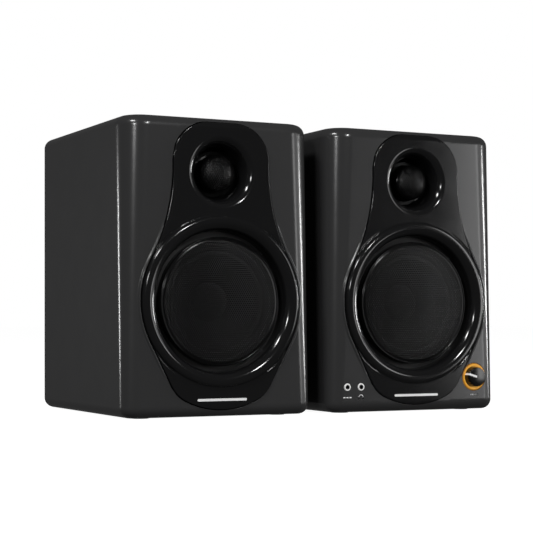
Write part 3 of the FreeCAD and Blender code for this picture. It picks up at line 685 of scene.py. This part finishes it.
def plan_columns():
    """Stations round the cabinet, as functions of height: a point on the wall and its outward normal.
    The first run is the front from 45 degrees on its left corner to 45 degrees on its right."""
    half = WIDTH / 2

    def corner(sx, sy, angle):
        a = math.radians(angle)
        normal = Vector((sx * math.sin(a), sy * math.cos(a), 0))

        def station(z):
            radius = front_radius(z) if sy < 0 else REAR_RADIUS
            centre = Vector((sx * (half - radius), radius if sy < 0 else DEPTH - radius, z))
            return centre + normal * radius, normal
        return station

    def straight(x_share, y_side, normal):
        def station(z):
            radius = front_radius(z) if y_side < 0 else REAR_RADIUS
            return Vector((x_share * (half - radius), 0.0 if y_side < 0 else DEPTH, z)), normal
        return station

    def flank(side, share):
        def station(z):
            start, end = front_radius(z), DEPTH - REAR_RADIUS
            return Vector((side * half, start + (end - start) * share, z)), Vector((side, 0, 0))
        return station

    turn = [45.0 * k / 8 for k in range(9)]
    across = [-1 + 2 * k / 40 for k in range(1, 40)]
    front = ([corner(-1, -1, a) for a in reversed(turn)] + [straight(x, -1, Vector((0, -1, 0))) for x in across]
             + [corner(1, -1, a) for a in turn])
    right = ([corner(1, -1, 45 + a) for a in turn[1:]] + [flank(1, k / 6) for k in range(1, 6)]
             + [corner(1, 1, 90 - a) for a in turn[:-1]])
    rear = ([corner(1, 1, 45 - a) for a in turn] + [straight(-x, 1, Vector((0, 1, 0))) for x in across]
            + [corner(-1, 1, a) for a in turn])
    left = ([corner(-1, 1, 45 + a) for a in turn[1:]] + [flank(-1, 1 - k / 6) for k in range(1, 6)]
            + [corner(-1, -1, 90 - a) for a in turn[:-1]])
    return front, right, rear, left


def wall_rows():
    """Heights up the wall with the tilt of the wall's normal, in degrees, at each."""
    tilts = [90 * k / 12 for k in range(1, 13)]
    turns = [(EDGE_RADIUS * (1 - math.sin(math.radians(tilt))), tilt) for tilt in tilts]
    rows = [(height, -tilt) for height, tilt in reversed(turns)]
    rows += [(EDGE_RADIUS + (HEIGHT - 2 * EDGE_RADIUS) * k / 24, 0.0) for k in range(25)]
    return rows + [(HEIGHT - height, tilt) for height, tilt in turns]


def add_cabinet(side, material):
    shell = Shell()
    runs = plan_columns()
    columns = [station for run in runs for station in run]
    rows = wall_rows()
    grid = []
    for z, tilt in rows:
        inset = EDGE_RADIUS * (1 - math.cos(math.radians(tilt)))
        row = []
        for station in columns:
            point, normal = station(z)
            facing = normal * math.cos(math.radians(tilt)) + Vector((0, 0, math.sin(math.radians(tilt))))
            row.append(shell.add(point - normal * inset, facing))
        grid.append(row)
    low = next(k for k, row in enumerate(rows) if row[1] >= -45.01)
    high = max(k for k, row in enumerate(rows) if row[1] <= 45.01)
    front_end = len(runs[0]) - 1
    rear_start = len(runs[0]) + len(runs[1])
    rear_end = rear_start + len(runs[2]) - 1
    count = len(columns)
    for r in range(len(rows) - 1):
        for c in range(count):
            windowed = c < front_end or rear_start <= c < rear_end
            if windowed and low <= r < high:
                continue
            n = (c + 1) % count
            shell.faces.append((grid[r][c], grid[r][n], grid[r + 1][n], grid[r + 1][c]))
    shell.faces.append(tuple(grid[0]))
    shell.faces.append(tuple(grid[-1]))

    def window(first, last):
        return ([grid[low][c] for c in range(first, last + 1)] + [grid[r][last] for r in range(low + 1, high)]
                + [grid[high][c] for c in range(last, first - 1, -1)]
                + [grid[r][first] for r in range(high - 1, low, -1)])

    cavity_rear = add_cabinet_front(shell, window(0, front_end), side)
    add_cabinet_rear(shell, window(rear_start, rear_end), cavity_rear)
    made = shell.piece(side + "_cabinet_shell", side, material, "cabinet_paint")
    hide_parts(side + "_cabinet")


def flat_of(shell, ring):
    return [(shell.points[i][0], shell.points[i][2]) for i in ring]


def turned_in(shell, flat, surface, radius, directions, wall_y):
    """Rounds a sheet over its hole's edge and carries it back as a wall; returns the sheet's ring
    and the wall's last ring. The directions point into the hole."""
    rings = []
    for a in [math.pi / 2 * k / 4 for k in range(5)]:
        shift = radius * (1 - math.sin(a))
        ring = []
        for (x, z), d in zip(flat, directions):
            edge = (x - d.x * radius, z - d.y * radius)
            top = slope_normal(surface, *edge).normalized()
            y = surface(*edge) + radius * (1 - math.cos(a))
            ring.append(shell.add((x - d.x * shift, y, z - d.y * shift),
                                  Vector((d.x, 0, d.y)) * math.sin(a) + top * math.cos(a)))
        rings.append(ring)
    rings.append([shell.add((x, wall_y, z), (d.x, 0, d.y)) for (x, z), d in zip(flat, directions)])
    shell.strips(rings)
    return rings[0], rings[-1]


def add_cabinet_front(shell, outer, side):
    """The front wall with its recess and holes, and the cavity, whose rear ring it returns."""
    outline = offset_loop(OUTLINE.loop(), FASCIA_GAP)
    inward = [-n for n in loop_normals(outline)]
    recess_rim, recess_floor = turned_in(shell, outline, cabinet_front, RECESS_ROUND, inward, FASCIA_SEAT)
    holes = []
    if side == "right":
        holes.append((KNOB_X, KNOB_Z, LIGHT_RADIUS + 0.2, 72))
        holes += [(x, SOCKET_Z, SOCKET_NOSE + 0.15, 40) for x in SOCKET_X]
    rings, keep_out = [outer, recess_rim], []
    for x, z, radius, count in holes:
        flat = circle_points(radius, x, z, count)
        into = [Vector((x - px, z - pz)).normalized() for px, pz in flat]
        rim, floor = turned_in(shell, flat, cabinet_front, HOLE_ROUND, into, FASCIA_SEAT)
        rings.append(rim)
        keep_out.append((x, z, radius + HOLE_ROUND))
        shell.faces.append(tuple(floor))

    def outside(x, z, margin=0.0):
        if math.hypot(x, z - WOOFER_Z) < OUTLINE.reach(x, z) + FASCIA_GAP + margin:
            return False
        return all(math.hypot(x - hx, z - hz) > r + margin for hx, hz, r in keep_out)

    low_z, high_z = shell.points[outer[0]][2], max(shell.points[i][2] for i in outer)

    def allowed(x, z):
        radius = front_radius(z)
        reach = WIDTH / 2 - radius + (radius - edge_inset(z)) * math.sqrt(0.5)
        return low_z + 0.5 < z < high_z - 0.5 and abs(x) < reach - 0.6 and outside(x, z, RECESS_ROUND + 0.3)

    fixed = [p for ring in rings for p in flat_of(shell, ring)]
    spots = Spots(fixed)
    for k in range(1, 10):
        spots.offer(offset_loop(outline, RECESS_ROUND + 0.42 * k), 0.34, allowed)
    spots.offer(lattice(WIDTH / 2, 0.0, HEIGHT, 2.4), 1.3, allowed)
    shell.sheet(rings, lambda x, z: outside(x, z, -0.03), spots.kept, cabinet_front,
                lambda x, z: slope_normal(cabinet_front, x, z))

    front, back = (0, -1, 0), (0, 1, 0)
    woofer = [shell.circle(radius, WOOFER_Z, 160, y, normal) for radius, y, normal in
              ((FLANGE_SEAT, FASCIA_SEAT, front), (FLANGE_SEAT, FLANGE_BACK, front),
               (WOOFER_HOLE, FLANGE_BACK, front), (WOOFER_HOLE, FRONT_WALL, back))]
    tweeter = [shell.circle(POT_HOLE, TWEETER_Z, 96, y, normal) for y, normal in
               ((FASCIA_SEAT, front), (FRONT_WALL, back))]
    inside = rounded_rectangle(WIDTH - 2 * SIDE_WALL, HEIGHT - 2 * SIDE_WALL, 1.0, HEIGHT / 2, 2)
    cavity = [shell.loop(inside, FRONT_WALL, back), shell.loop(inside, DEPTH - REAR_WALL, front)]
    shell.sheet([recess_floor, woofer[0], tweeter[0]], clear_of(FLANGE_SEAT, POT_HOLE))
    shell.sheet([cavity[0], woofer[-1], tweeter[-1]], clear_of(WOOFER_HOLE, POT_HOLE))
    for rings in (woofer, tweeter, cavity):
        shell.strips(rings)
    return cavity[-1]


def add_cabinet_rear(shell, outer, cavity_rear):
    """The rear wall with the rebate that holds the panel, down to the cavity's rear ring."""
    rebate_width, rebate_height = PANEL_WIDTH + 2 * PANEL_GAP, PANEL_HEIGHT + 2 * PANEL_GAP
    rebate = rounded_rectangle(rebate_width, rebate_height, PANEL_CORNER, HEIGHT / 2)

    def slope(x, z):
        return slope_normal(cabinet_rear, x, z, 1.0)

    rim = shell.loop(rebate, cabinet_rear, slope)
    floor = shell.loop(rebate, DEPTH - REBATE_DEPTH, (0, 1, 0))
    opening = rounded_rectangle(PANEL_WIDTH - 2 * PANEL_LEDGE, PANEL_HEIGHT - 2 * PANEL_LEDGE, 3.0, HEIGHT / 2)
    edge = shell.loop(opening, DEPTH - REBATE_DEPTH, (0, 1, 0))
    edge_back = shell.loop(opening, DEPTH - REAR_WALL, (0, -1, 0))
    high_z = max(shell.points[i][2] for i in outer)

    def beyond(x, z, margin):
        return abs(x) > PANEL_WIDTH / 2 + margin or abs(z - HEIGHT / 2) > PANEL_HEIGHT / 2 + margin

    def allowed(x, z):
        reach = WIDTH / 2 - REAR_RADIUS + (REAR_RADIUS - edge_inset(z)) * math.sqrt(0.5)
        return HEIGHT - high_z + 0.5 < z < high_z - 0.5 and abs(x) < reach - 0.6 and beyond(x, z, 1.2)

    spots = Spots(flat_of(shell, outer) + rebate)
    spots.offer(lattice(WIDTH / 2, 0.0, HEIGHT, 2.6), 1.4, allowed)

    def off_rebate(x, z):
        dx = abs(x) - (rebate_width / 2 - PANEL_CORNER)
        dz = abs(z - HEIGHT / 2) - (rebate_height / 2 - PANEL_CORNER)
        return max(dx, dz) > 0 and math.hypot(max(dx, 0), max(dz, 0)) > PANEL_CORNER

    def off_opening(x, z):
        return beyond(x, z, -PANEL_LEDGE - 0.05)

    shell.sheet([outer, rim], off_rebate, spots.kept, cabinet_rear, slope)
    shell.sheet([floor, edge], off_opening)
    shell.sheet([cavity_rear, edge_back], off_opening)
    for rings in ((rim, floor), (edge, edge_back)):
        shell.strips(rings)


# ---------------------------------------------------------------- fascia

class BottleOutline:
    """The bottle outline about the ring's centre, as straight runs and tangent arcs."""

    STEP = 1.2

    def __init__(self):
        rise = NECK_STRAIGHT_Z - WOOFER_Z
        flare = (NECK_HALF_WIDTH ** 2 + rise ** 2 - RING_RADIUS ** 2) / (2 * (RING_RADIUS - NECK_HALF_WIDTH))
        flare_x = NECK_HALF_WIDTH + flare
        shoulder = math.atan2(rise, flare_x)
        side, down = math.sin(FOOT_ANGLE), math.cos(FOOT_ANGLE)
        leave = Vector((RING_RADIUS * down, WOOFER_Z - RING_RADIUS * side))
        travel, inward = Vector((-side, -down)), Vector((-down, side))
        foot_centre = Vector((0, FASCIA_BOTTOM + FOOT_ARC_RADIUS))
        start = leave + inward * FOOT_CORNER_RADIUS - foot_centre
        reach = FOOT_ARC_RADIUS - FOOT_CORNER_RADIUS
        b = travel.dot(start)
        run = -b + math.sqrt(b * b - start.length_squared + reach * reach)
        corner = leave + inward * FOOT_CORNER_RADIUS + travel * run
        out, radial = -inward, (corner - foot_centre).normalized()
        corner_x, corner_z = NECK_HALF_WIDTH - TOP_CORNER_RADIUS, FASCIA_TOP - TOP_CORNER_RADIUS
        foot_turn = math.atan2(radial.y, radial.x)
        self.half = (
            self.line((0, FASCIA_TOP), (corner_x, FASCIA_TOP))
            + self.arc((corner_x, corner_z), TOP_CORNER_RADIUS, math.pi / 2, 0)
            + self.line((NECK_HALF_WIDTH, corner_z), (NECK_HALF_WIDTH, NECK_STRAIGHT_Z))
            + self.arc((flare_x, NECK_STRAIGHT_Z), flare, math.pi, math.pi + shoulder)
            + self.arc((0, WOOFER_Z), RING_RADIUS, shoulder, -FOOT_ANGLE)
            + self.line(leave, leave + travel * run)
            + self.arc(corner, FOOT_CORNER_RADIUS, math.atan2(out.y, out.x), foot_turn)
            + self.arc(foot_centre, FOOT_ARC_RADIUS, foot_turn, -math.pi / 2)
        )
        ends = self.half + [(0.0, FASCIA_BOTTOM)]
        self.table = sorted((math.atan2(z - WOOFER_Z, x), math.hypot(x, z - WOOFER_Z)) for x, z in ends)

    def line(self, start, end):
        a, b = Vector(start), Vector(end)
        count = max(1, round((b - a).length / self.STEP))
        return [tuple(a.lerp(b, k / count)) for k in range(count)]

    def arc(self, centre, radius, start, end):
        count = max(2, round(abs(end - start) * radius / self.STEP))
        found = []
        for k in range(count):
            a = start + (end - start) * k / count
            found.append((centre[0] + radius * math.cos(a), centre[1] + radius * math.sin(a)))
        return found

    def reach(self, x, z):
        """Distance from the ring's centre to the outline in the direction of (x, z)."""
        place = bisect.bisect(self.table, (math.atan2(z - WOOFER_Z, abs(x)), 0.0))
        high = min(max(place, 1), len(self.table) - 1)
        (a0, r0), (a1, r1) = self.table[high - 1], self.table[high]
        share = (math.atan2(z - WOOFER_Z, abs(x)) - a0) / (a1 - a0)
        return r0 + (r1 - r0) * min(1.0, max(0.0, share))

    def loop(self):
        """The closed outline, anticlockwise seen with +x to the right and +z up."""
        mirrored = [(-x, z) for x, z in self.half[1:]]
        return [self.half[0]] + mirrored + [(0.0, FASCIA_BOTTOM)] + self.half[:0:-1]


OUTLINE = BottleOutline()


def smooth_step(low, high, value):
    t = min(1.0, max(0.0, (value - low) / (high - low)))
    return t * t * (3 - 2 * t)


def ring_height(radius):
    """How far the ring stands forward outside its crest."""
    share = min(1.0, max(0.0, (radius - CREST_RADIUS) / (RING_RADIUS - CREST_RADIUS)))
    return RING_FOOT + (RING_STAND - RING_FOOT) * (1 - share ** RING_POWER)


def plate_height(x, z):
    """How far the plate stands forward beside the ring. A groove follows the ring's foot and
    fades out above and below the woofer."""
    beyond = (math.hypot(x, z - WOOFER_Z) - RING_RADIUS) / GROOVE_WIDTH
    angle = abs(math.degrees(math.atan2(z - WOOFER_Z, abs(x))))
    depth = (1 - smooth_step(GROOVE_FADE_START, GROOVE_FADE_END, angle)) * (PLATE_STAND - RING_FOOT)
    rise = 1.0 if beyond >= 1 else math.sqrt(1 - (1 - max(beyond, 0.0)) ** 2)
    return PLATE_STAND - depth * (1 - rise)


def dish_drop(distance):
    """How deep the tweeter's bell mouth lies behind the plate at a distance from its centre."""
    u = min(1.0, max(0.0, (DISH_RADIUS - distance) / (DISH_RADIUS - THROAT_RADIUS)))
    return (PLATE_STAND + THROAT_FRONT) * (1 - math.sqrt(1 - u * u))


def dish_rows(shell):
    """Rings down the bell mouth, from the plate to the throat's floor."""
    reach, deep = DISH_RADIUS - THROAT_RADIUS, PLATE_STAND + THROAT_FRONT
    rows = []
    for k in range(31):
        t = math.pi / 2 * k / 30
        circle = circle_points(DISH_RADIUS - reach * math.sin(t), 0, TWEETER_Z, 128)
        inward, forward = deep * math.sin(t), reach * math.cos(t)
        facing = []
        for x, z in circle:
            away = Vector((x, z - TWEETER_Z)).normalized()
            facing.append(Vector((-away.x * inward, -forward, -away.y * inward)))
        rows.append(shell.loop(circle, front_y, facing))
    wall = [Vector((-x, 0, TWEETER_Z - z)) for x, z in circle]
    rows.append(shell.loop(circle, THROAT_FLOOR, wall))
    return rows


def front_y(x, z):
    """The fascia's front surface, negative towards the listener."""
    radius = math.hypot(x, z - WOOFER_Z)
    if radius < CREST_RADIUS:
        u = min(1.0, (CREST_RADIUS - radius) / (CREST_RADIUS - MOUTH_RADIUS))
        return -RING_STAND + (RING_STAND + MOUTH_Y) * (1 - math.sqrt(max(0.0, 1 - u * u)))
    stand = plate_height(x, z)
    if radius < RING_RADIUS:
        stand = max(stand, ring_height(radius))
    return body_front(x, z) - stand + dish_drop(math.hypot(x, z - TWEETER_Z))


def add_fascia(side, material):
    """Front sheet, rolled outer edge, mouth and throat, throat floor and a stepped back."""
    shell = Shell()
    outline = OUTLINE.loop()
    outward = loop_normals(outline)
    rim, wall_end = turned_in(shell, outline, front_y, PLATE_ROUND, outward, FASCIA_SEAT)

    def into_mouth(x, z):
        return Vector((-x, 0, WOOFER_Z - z))

    mouth = shell.loop(circle_points(MOUTH_RADIUS, 0, WOOFER_Z, 192), MOUTH_Y, into_mouth)
    dish = dish_rows(shell)

    def allowed(x, z):
        from_ring = math.hypot(x, z - WOOFER_Z)
        return (MOUTH_RADIUS + 0.02 < from_ring < OUTLINE.reach(x, z) - PLATE_ROUND - 0.25
                and math.hypot(x, z - TWEETER_Z) > DISH_RADIUS + 0.2)

    spots = Spots(flat_of(shell, rim) + flat_of(shell, mouth) + flat_of(shell, dish[0]))
    for k in range(1, 12):
        radius = CREST_RADIUS - (CREST_RADIUS - MOUTH_RADIUS) * math.cos(math.pi / 2 * k / 12)
        spots.offer(circle_points(radius, 0, WOOFER_Z, 192, 0.5 * (k % 2)), 0.12, allowed)
    for k in range(16):
        radius = CREST_RADIUS + (RING_RADIUS + GROOVE_WIDTH - CREST_RADIUS) * k / 15
        spots.offer(circle_points(radius, 0, WOOFER_Z, 300, 0.5 * (k % 2)), 0.3, allowed)
    spots.offer(lattice(RING_RADIUS, FASCIA_BOTTOM, FASCIA_TOP, 2.4), 1.2, allowed)

    shell.sheet([rim, mouth, dish[0]], clear_of(MOUTH_RADIUS * 0.9995, DISH_RADIUS * 0.999), spots.kept,
                front_y, lambda x, z: slope_normal(front_y, x, z))
    front, back = (0, -1, 0), (0, 1, 0)
    rows = [mouth] + [shell.circle(radius, WOOFER_Z, 192, y, normal) for radius, y, normal in
                      ((MOUTH_RADIUS - 0.7, MOUTH_BACK, into_mouth), (RING_BACK_RADIUS, MOUTH_BACK, back),
                       (RING_BACK_RADIUS, FASCIA_SEAT, back))]
    posts = dish + [shell.circle(radius, TWEETER_Z, 128, y, normal) for radius, y, normal in
                    ((TWEETER_OPENING, THROAT_FLOOR, front), (TWEETER_OPENING, TWEETER_BACK, back),
                     (POT_RADIUS, TWEETER_BACK, back), (POT_RADIUS, FASCIA_SEAT, back))]
    shell.strips(rows)
    shell.strips(posts)
    shell.sheet([wall_end, rows[-1], posts[-1]], clear_of(RING_BACK_RADIUS, POT_RADIUS))
    made = shell.piece(side + "_fascia_shell", side, material, "fascia_gloss")
    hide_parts(side + "_fascia")


# ---------------------------------------------------------------- grilles

def perforated_disc(radius, pitch, hole, y_at, centre_z):
    """Front skin of a sheet punched on a triangular pattern: six quads round each hexagonal hole."""
    points, faces, known = [], [], {}
    corner_reach = pitch / math.sqrt(3)

    def corner(x, z):
        key = (round(x * 100), round(z * 100))
        if key not in known:
            known[key] = len(points)
            points.append((x, y_at(math.hypot(x, z)), centre_z + z))
        return known[key]

    rows = int(radius / (pitch * math.sqrt(0.75))) + 1
    columns = int(radius / pitch) + 1
    for row in range(-rows, rows + 1):
        for column in range(-columns, columns + 1):
            cx = (column + 0.5 * (row % 2)) * pitch
            cz = row * pitch * math.sqrt(0.75)
            if math.hypot(cx, cz) > radius:
                continue
            outer, inner = [], []
            for k in range(6):
                a = math.pi / 6 + math.pi / 3 * k
                outer.append(corner(cx + corner_reach * math.cos(a), cz + corner_reach * math.sin(a)))
                inner.append(len(points))
                x, z = cx + hole * math.cos(a), cz + hole * math.sin(a)
                points.append((x, y_at(math.hypot(x, z)), centre_z + z))
            for k in range(6):
                n = (k + 1) % 6
                faces.append((outer[k], outer[n], inner[n], inner[k]))
    return points, faces


def thicken(piece, thickness):
    """Gives a one-sided sheet its thickness, behind its front skin."""
    solid = piece.modifiers.new("sheet", "SOLIDIFY")
    solid.thickness = thickness * MM
    solid.offset = -1.0
    bpy.context.view_layer.update()
    made = bpy.data.meshes.new_from_object(piece.evaluated_get(bpy.context.evaluated_depsgraph_get()))
    piece.modifiers.clear()
    piece.data = made


def dome_y(apex, rim_radius, rim_y):
    """Depth of a spherical dome as a function of the distance from its centre."""
    rise = rim_y - apex
    sphere = (rim_radius ** 2 + rise ** 2) / (2 * rise)
    return lambda r: apex + sphere - math.sqrt(max(sphere * sphere - r * r, 0.0))


def add_grille(side, driver, radius, y_at, thickness, rim_profile, centre_z, steps, material):
    """A punched sheet inside its turned rim."""
    points, faces = perforated_disc(radius, HOLE_PITCH, HOLE_RADIUS, y_at, centre_z)
    mesh = make_piece(side + "_" + driver + "_mesh", side, points, faces, material, "grille_steel")
    thicken(mesh, thickness)
    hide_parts(side + "_" + driver + "_grille")
    points, faces = lathe(rim_profile, centre_z, steps)
    make_piece(side + "_" + driver + "_grille_rim", side, points, faces, material, "grille_steel")


def add_woofer_grille(side, material):
    rim = GRILLE_RADIUS
    height = dome_y(GRILLE_APEX_Y, rim - 1.9, GRILLE_RIM_Y - 0.6)
    inner, inner_y = rim - 3.2, height(rim - 3.0)
    profile = ([(inner, inner_y + 0.5), (inner, inner_y - 0.05), (rim - 1.8, height(rim - 1.8) - 0.1)]
               + arc_points((rim - 0.9, GRILLE_RIM_Y + 0.3), 0.9, -130, 0, 8)
               + [(rim, GRILLE_BACK), (rim - 0.8, GRILLE_BACK), (rim - 0.8, GRILLE_RIM_Y + 0.6),
                  (inner, inner_y + 0.5)])
    add_grille(side, "woofer", rim - 2.6, height, 0.6, profile, WOOFER_Z, 160, material)


def add_tweeter_grille(side, material):
    height = dome_y(-0.8, 14.6, 7.0)
    inner, edge = TWEETER_MESH_RADIUS, height(TWEETER_MESH_RADIUS)
    profile = ([(inner, edge + 0.4), (inner, edge - 0.08)] + arc_points((14.0, 7.2), 0.7, -60, -5, 6)
               + [(15.7, 18.3), (18.2, 18.3), (18.2, 18.9), (15.1, 18.9), (14.0, 7.6), (inner, edge + 0.4)])
    add_grille(side, "tweeter", inner, height, 0.5, profile, TWEETER_Z, 96, material)


# ---------------------------------------------------------------- controls and marks

def knob_shoulder(start, end, count):
    """Points of (radius, y) on the rounding between the knob's face and its flank."""
    return arc_points((KNOB_TIP_RADIUS - KNOB_ROUND, KNOB_FLANK_START), KNOB_ROUND, start, end, count)


def add_knob(material):
    """Tapered grip with shallow flutes and its shaft bore."""
    rows = [(0.0, KNOB_FACE_Y, 0), (KNOB_TIP_RADIUS - KNOB_ROUND, KNOB_FACE_Y, 0)]
    rows += [(r, y, share) for (r, y), share in zip(knob_shoulder(-72, 0, 4), (0, 0.2, 0.6, 0.9, 1))]
    for share in [k / 6 for k in range(1, 7)]:
        rows.append((KNOB_TIP_RADIUS + (KNOB_RADIUS - KNOB_TIP_RADIUS) * share,
                     KNOB_FLANK_START + (KNOB_FLANK_END - KNOB_FLANK_START) * share, 1 - share))
    rows += [(KNOB_RADIUS, KNOB_BACK, 0), (SHAFT_BORE, KNOB_BACK, 0), (SHAFT_BORE, SHAFT_BORE_END, 0),
             (0.0, SHAFT_BORE_END, 0)]
    steps = FLUTES * 10
    points = []
    for radius, y, share in rows:
        for a in [2 * math.pi * k / steps for k in range(steps)]:
            reach = radius - FLUTE_DEPTH * share * (0.5 + 0.5 * math.cos(FLUTES * a)) ** 2
            points.append((KNOB_X + reach * math.cos(a), y, KNOB_Z + reach * math.sin(a)))
    knob = make_piece("volume_knob_grip", "right", points, tube_faces(len(rows), steps), material, "knob_black",
                      "volume_control", sharp=30.0)
    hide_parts("right_volume_knob")


def add_pointer(material):
    """A line up the knob's flank, over its shoulder and along its face."""
    rise = Vector((KNOB_RADIUS - KNOB_TIP_RADIUS, KNOB_FLANK_END - KNOB_FLANK_START)).normalized()
    flank = Vector((rise.y, -rise.x))
    path = [((KNOB_RADIUS - 0.05, 0.9), flank), ((KNOB_TIP_RADIUS + 0.02, KNOB_FLANK_START), flank)]
    for k, point in enumerate(knob_shoulder(0, -90, 6)):
        a = -math.pi / 2 * k / 6
        path.append((point, Vector((math.cos(a), math.sin(a)))))
    path.append(((0.6, KNOB_FACE_Y), Vector((0, -1))))
    out = Vector((math.cos(POINTER_ANGLE), 0, math.sin(POINTER_ANGLE)))
    across = Vector((-out.z, 0, out.x)) * POINTER_WIDTH / 2
    points, faces = [], []
    for (radius, y), normal in path:
        for lift in (0.04, -0.4):
            base = Vector((KNOB_X, 0, KNOB_Z)) + out * (radius + normal.x * lift)
            base.y = y + normal.y * lift
            points += [base - across, base + across]
    for k in range(len(path) - 1):
        a, b = 4 * k, 4 * k + 4
        faces += [(a, a + 1, b + 1, b), (a + 2, b + 2, b + 3, a + 3), (a, b, b + 2, a + 2),
                  (a + 1, a + 3, b + 3, b + 1)]
    last = 4 * len(path) - 4
    faces += [(0, 2, 3, 1), (last, last + 1, last + 3, last + 2)]
    make_piece("volume_knob_pointer", "right", points, faces, material, "socket_white", "volume_control")


def add_print(name, side, loops, y_at, material):
    """Flat printed shapes, each a closed loop of (x, z), a hair proud of the surface behind them."""
    points, faces = [], []
    for loop in loops:
        start, count = len(points), len(loop)
        points += [(x, y_at(x, z) - PRINT_LIFT, z) for x, z in loop]
        points += [(x, y_at(x, z) + 0.1, z) for x, z in loop]
        faces.append(tuple(range(start, start + count)))
        faces.append(tuple(reversed(range(start + count, start + 2 * count))))
        for k in range(count):
            n = (k + 1) % count
            faces.append((start + k, start + count + k, start + count + n, start + n))
    make_piece(name, side, points, faces, material, "socket_white")


def pill(centre_x, centre_z, width, height):
    outline = rounded_rectangle(width, height, 0.49 * height, centre_z, 5, 3.0)
    return [(x + centre_x, z) for x, z in outline]


def headphone_sign(centre_x, centre_z):
    """An arch with a pad at each end."""
    centre = (centre_x, centre_z)
    arch = arc_points(centre, 2.3, 0, 180, 16) + arc_points(centre, 1.8, 180, 0, 16)
    return [arch] + [pill(centre_x + dx, centre_z - 0.7, 0.9, 1.8) for dx in (-1.9, 1.9)]


def add_marks(material):
    ink = [pill(SOCKET_X[0] + dx, MARK_Z, 2.1, 0.9) for dx in (-2.9, 0.0, 2.9)]
    ink += headphone_sign(SOCKET_X[1], MARK_Z)
    ink += [pill(KNOB_X + dx, MARK_Z, 1.0, height) for dx, height in
            ((-3.2, 0.7), (-1.6, 1.0), (0.0, 1.3), (1.6, 1.6), (3.2, 1.9))]
    add_print("front_marks", "right", ink, cabinet_front, material)
    for side in SIDES:
        add_print(side + "_light_bar", side, [pill(0.0, BAR_Z, BAR_WIDTH, BAR_HEIGHT)], front_y, material)


# ---------------------------------------------------------------- floor, light and camera

def add_floor():
    mesh = bpy.data.meshes.new("studio_floor")
    reach = 30.0
    mesh.from_pydata([(-reach, -reach, 0), (reach, -reach, 0), (reach, reach, 0), (-reach, reach, 0)], [],
                     [(0, 1, 2, 3)])
    mesh.materials.append(new_material("pale_floor", Base_Color=(0.35, 0.35, 0.35, 1), Roughness=0.9,
                                       Specular_IOR_Level=0.0, Emission_Color=(1, 1, 1, 1),
                                       Emission_Strength=0.97)[0])
    floor = bpy.data.objects.new("studio_floor", mesh)
    bpy.context.scene.collection.objects.link(floor)
    floor.visible_glossy = False
    floor.visible_diffuse = False
    floor.visible_shadow = False


def add_world():
    """White where the camera looks past the object, dim where surfaces look."""
    world = bpy.data.worlds.new("studio")
    bpy.context.scene.world = world
    world.use_nodes = True
    tree = world.node_tree
    tree.nodes.clear()
    path = tree.nodes.new("ShaderNodeLightPath")
    dim = add_node(tree, "ShaderNodeBackground", Color=(1, 1, 1, 1), Strength=0.07)
    bright = add_node(tree, "ShaderNodeBackground", Color=(1, 1, 1, 1), Strength=1.0)
    mix = tree.nodes.new("ShaderNodeMixShader")
    output = tree.nodes.new("ShaderNodeOutputWorld")
    tree.links.new(path.outputs["Is Camera Ray"], mix.inputs[0])
    tree.links.new(dim.outputs[0], mix.inputs[1])
    tree.links.new(bright.outputs[0], mix.inputs[2])
    tree.links.new(mix.outputs[0], output.inputs["Surface"])


def add_softbox(name, azimuth, elevation, distance, width, height, power, roll=0.0):
    """An area light facing the pair. Azimuth 0 is in front of it and 90 to its right."""
    a, e = math.radians(azimuth), math.radians(elevation)
    direction = Vector((math.sin(a) * math.cos(e), -math.cos(a) * math.cos(e), math.sin(e)))
    light = bpy.data.lights.new(name, "AREA")
    light.shape = "RECTANGLE"
    light.size = width
    light.size_y = height
    light.energy = power
    box = bpy.data.objects.new(name, light)
    centre = (CAD_BOX[0] + CAD_BOX[1]) / 2
    box.location = centre + direction * distance
    box.rotation_mode = "QUATERNION"
    turn = Quaternion((0, 0, 1), math.radians(roll))
    box.rotation_quaternion = (-direction).to_track_quat("-Z", "Y") @ turn
    box.visible_camera = False
    bpy.context.scene.collection.objects.link(box)


def add_lights():
    add_softbox("left_back_strip", -132, 1.5, 2.2, 0.10, 0.4, 6)
    add_softbox("upper_left", -60, 42, 2.2, 0.5, 0.3, 18)
    add_softbox("middle_left", -47, 17, 2.2, 0.3, 0.25, 10)
    add_softbox("front_high", 6, 28, 2.4, 0.25, 0.25, 16)
    add_softbox("right_edge", 40, 4, 2.2, 0.3, 0.8, 4)
    add_softbox("right_front", 56, 4, 2.2, 0.8, 1.0, 3)
    add_softbox("right_strip", 76, 3, 2.2, 0.1, 0.6, 12, 40)


def add_camera():
    camera = bpy.data.cameras.new("camera")
    camera.lens = CAMERA_LENS
    camera.sensor_width = 36.0
    camera.shift_y = CAMERA_SHIFT_Y
    camera.clip_start = 0.05
    camera.clip_end = 100.0
    holder = bpy.data.objects.new("camera", camera)
    holder.location = CAMERA_AT
    holder.rotation_euler = (math.pi / 2, 0.0, CAMERA_HEADING)
    bpy.context.scene.collection.objects.link(holder)
    bpy.context.scene.camera = holder


def build():
    bpy.context.scene.view_settings.view_transform = "Standard"
    add_camera()
    add_world()
    add_floor()
    add_lights()
    materials = make_materials()
    dress_cad_nodes(materials)
    for side in SIDES:
        add_cabinet(side, materials["cabinet_paint"])
        add_fascia(side, materials["fascia_gloss"])
        add_woofer_grille(side, materials["grille_steel"])
        add_tweeter_grille(side, materials["grille_steel"])
    add_knob(materials["knob_black"])
    add_pointer(materials["print_white"])
    add_marks(materials["print_white"])


build()
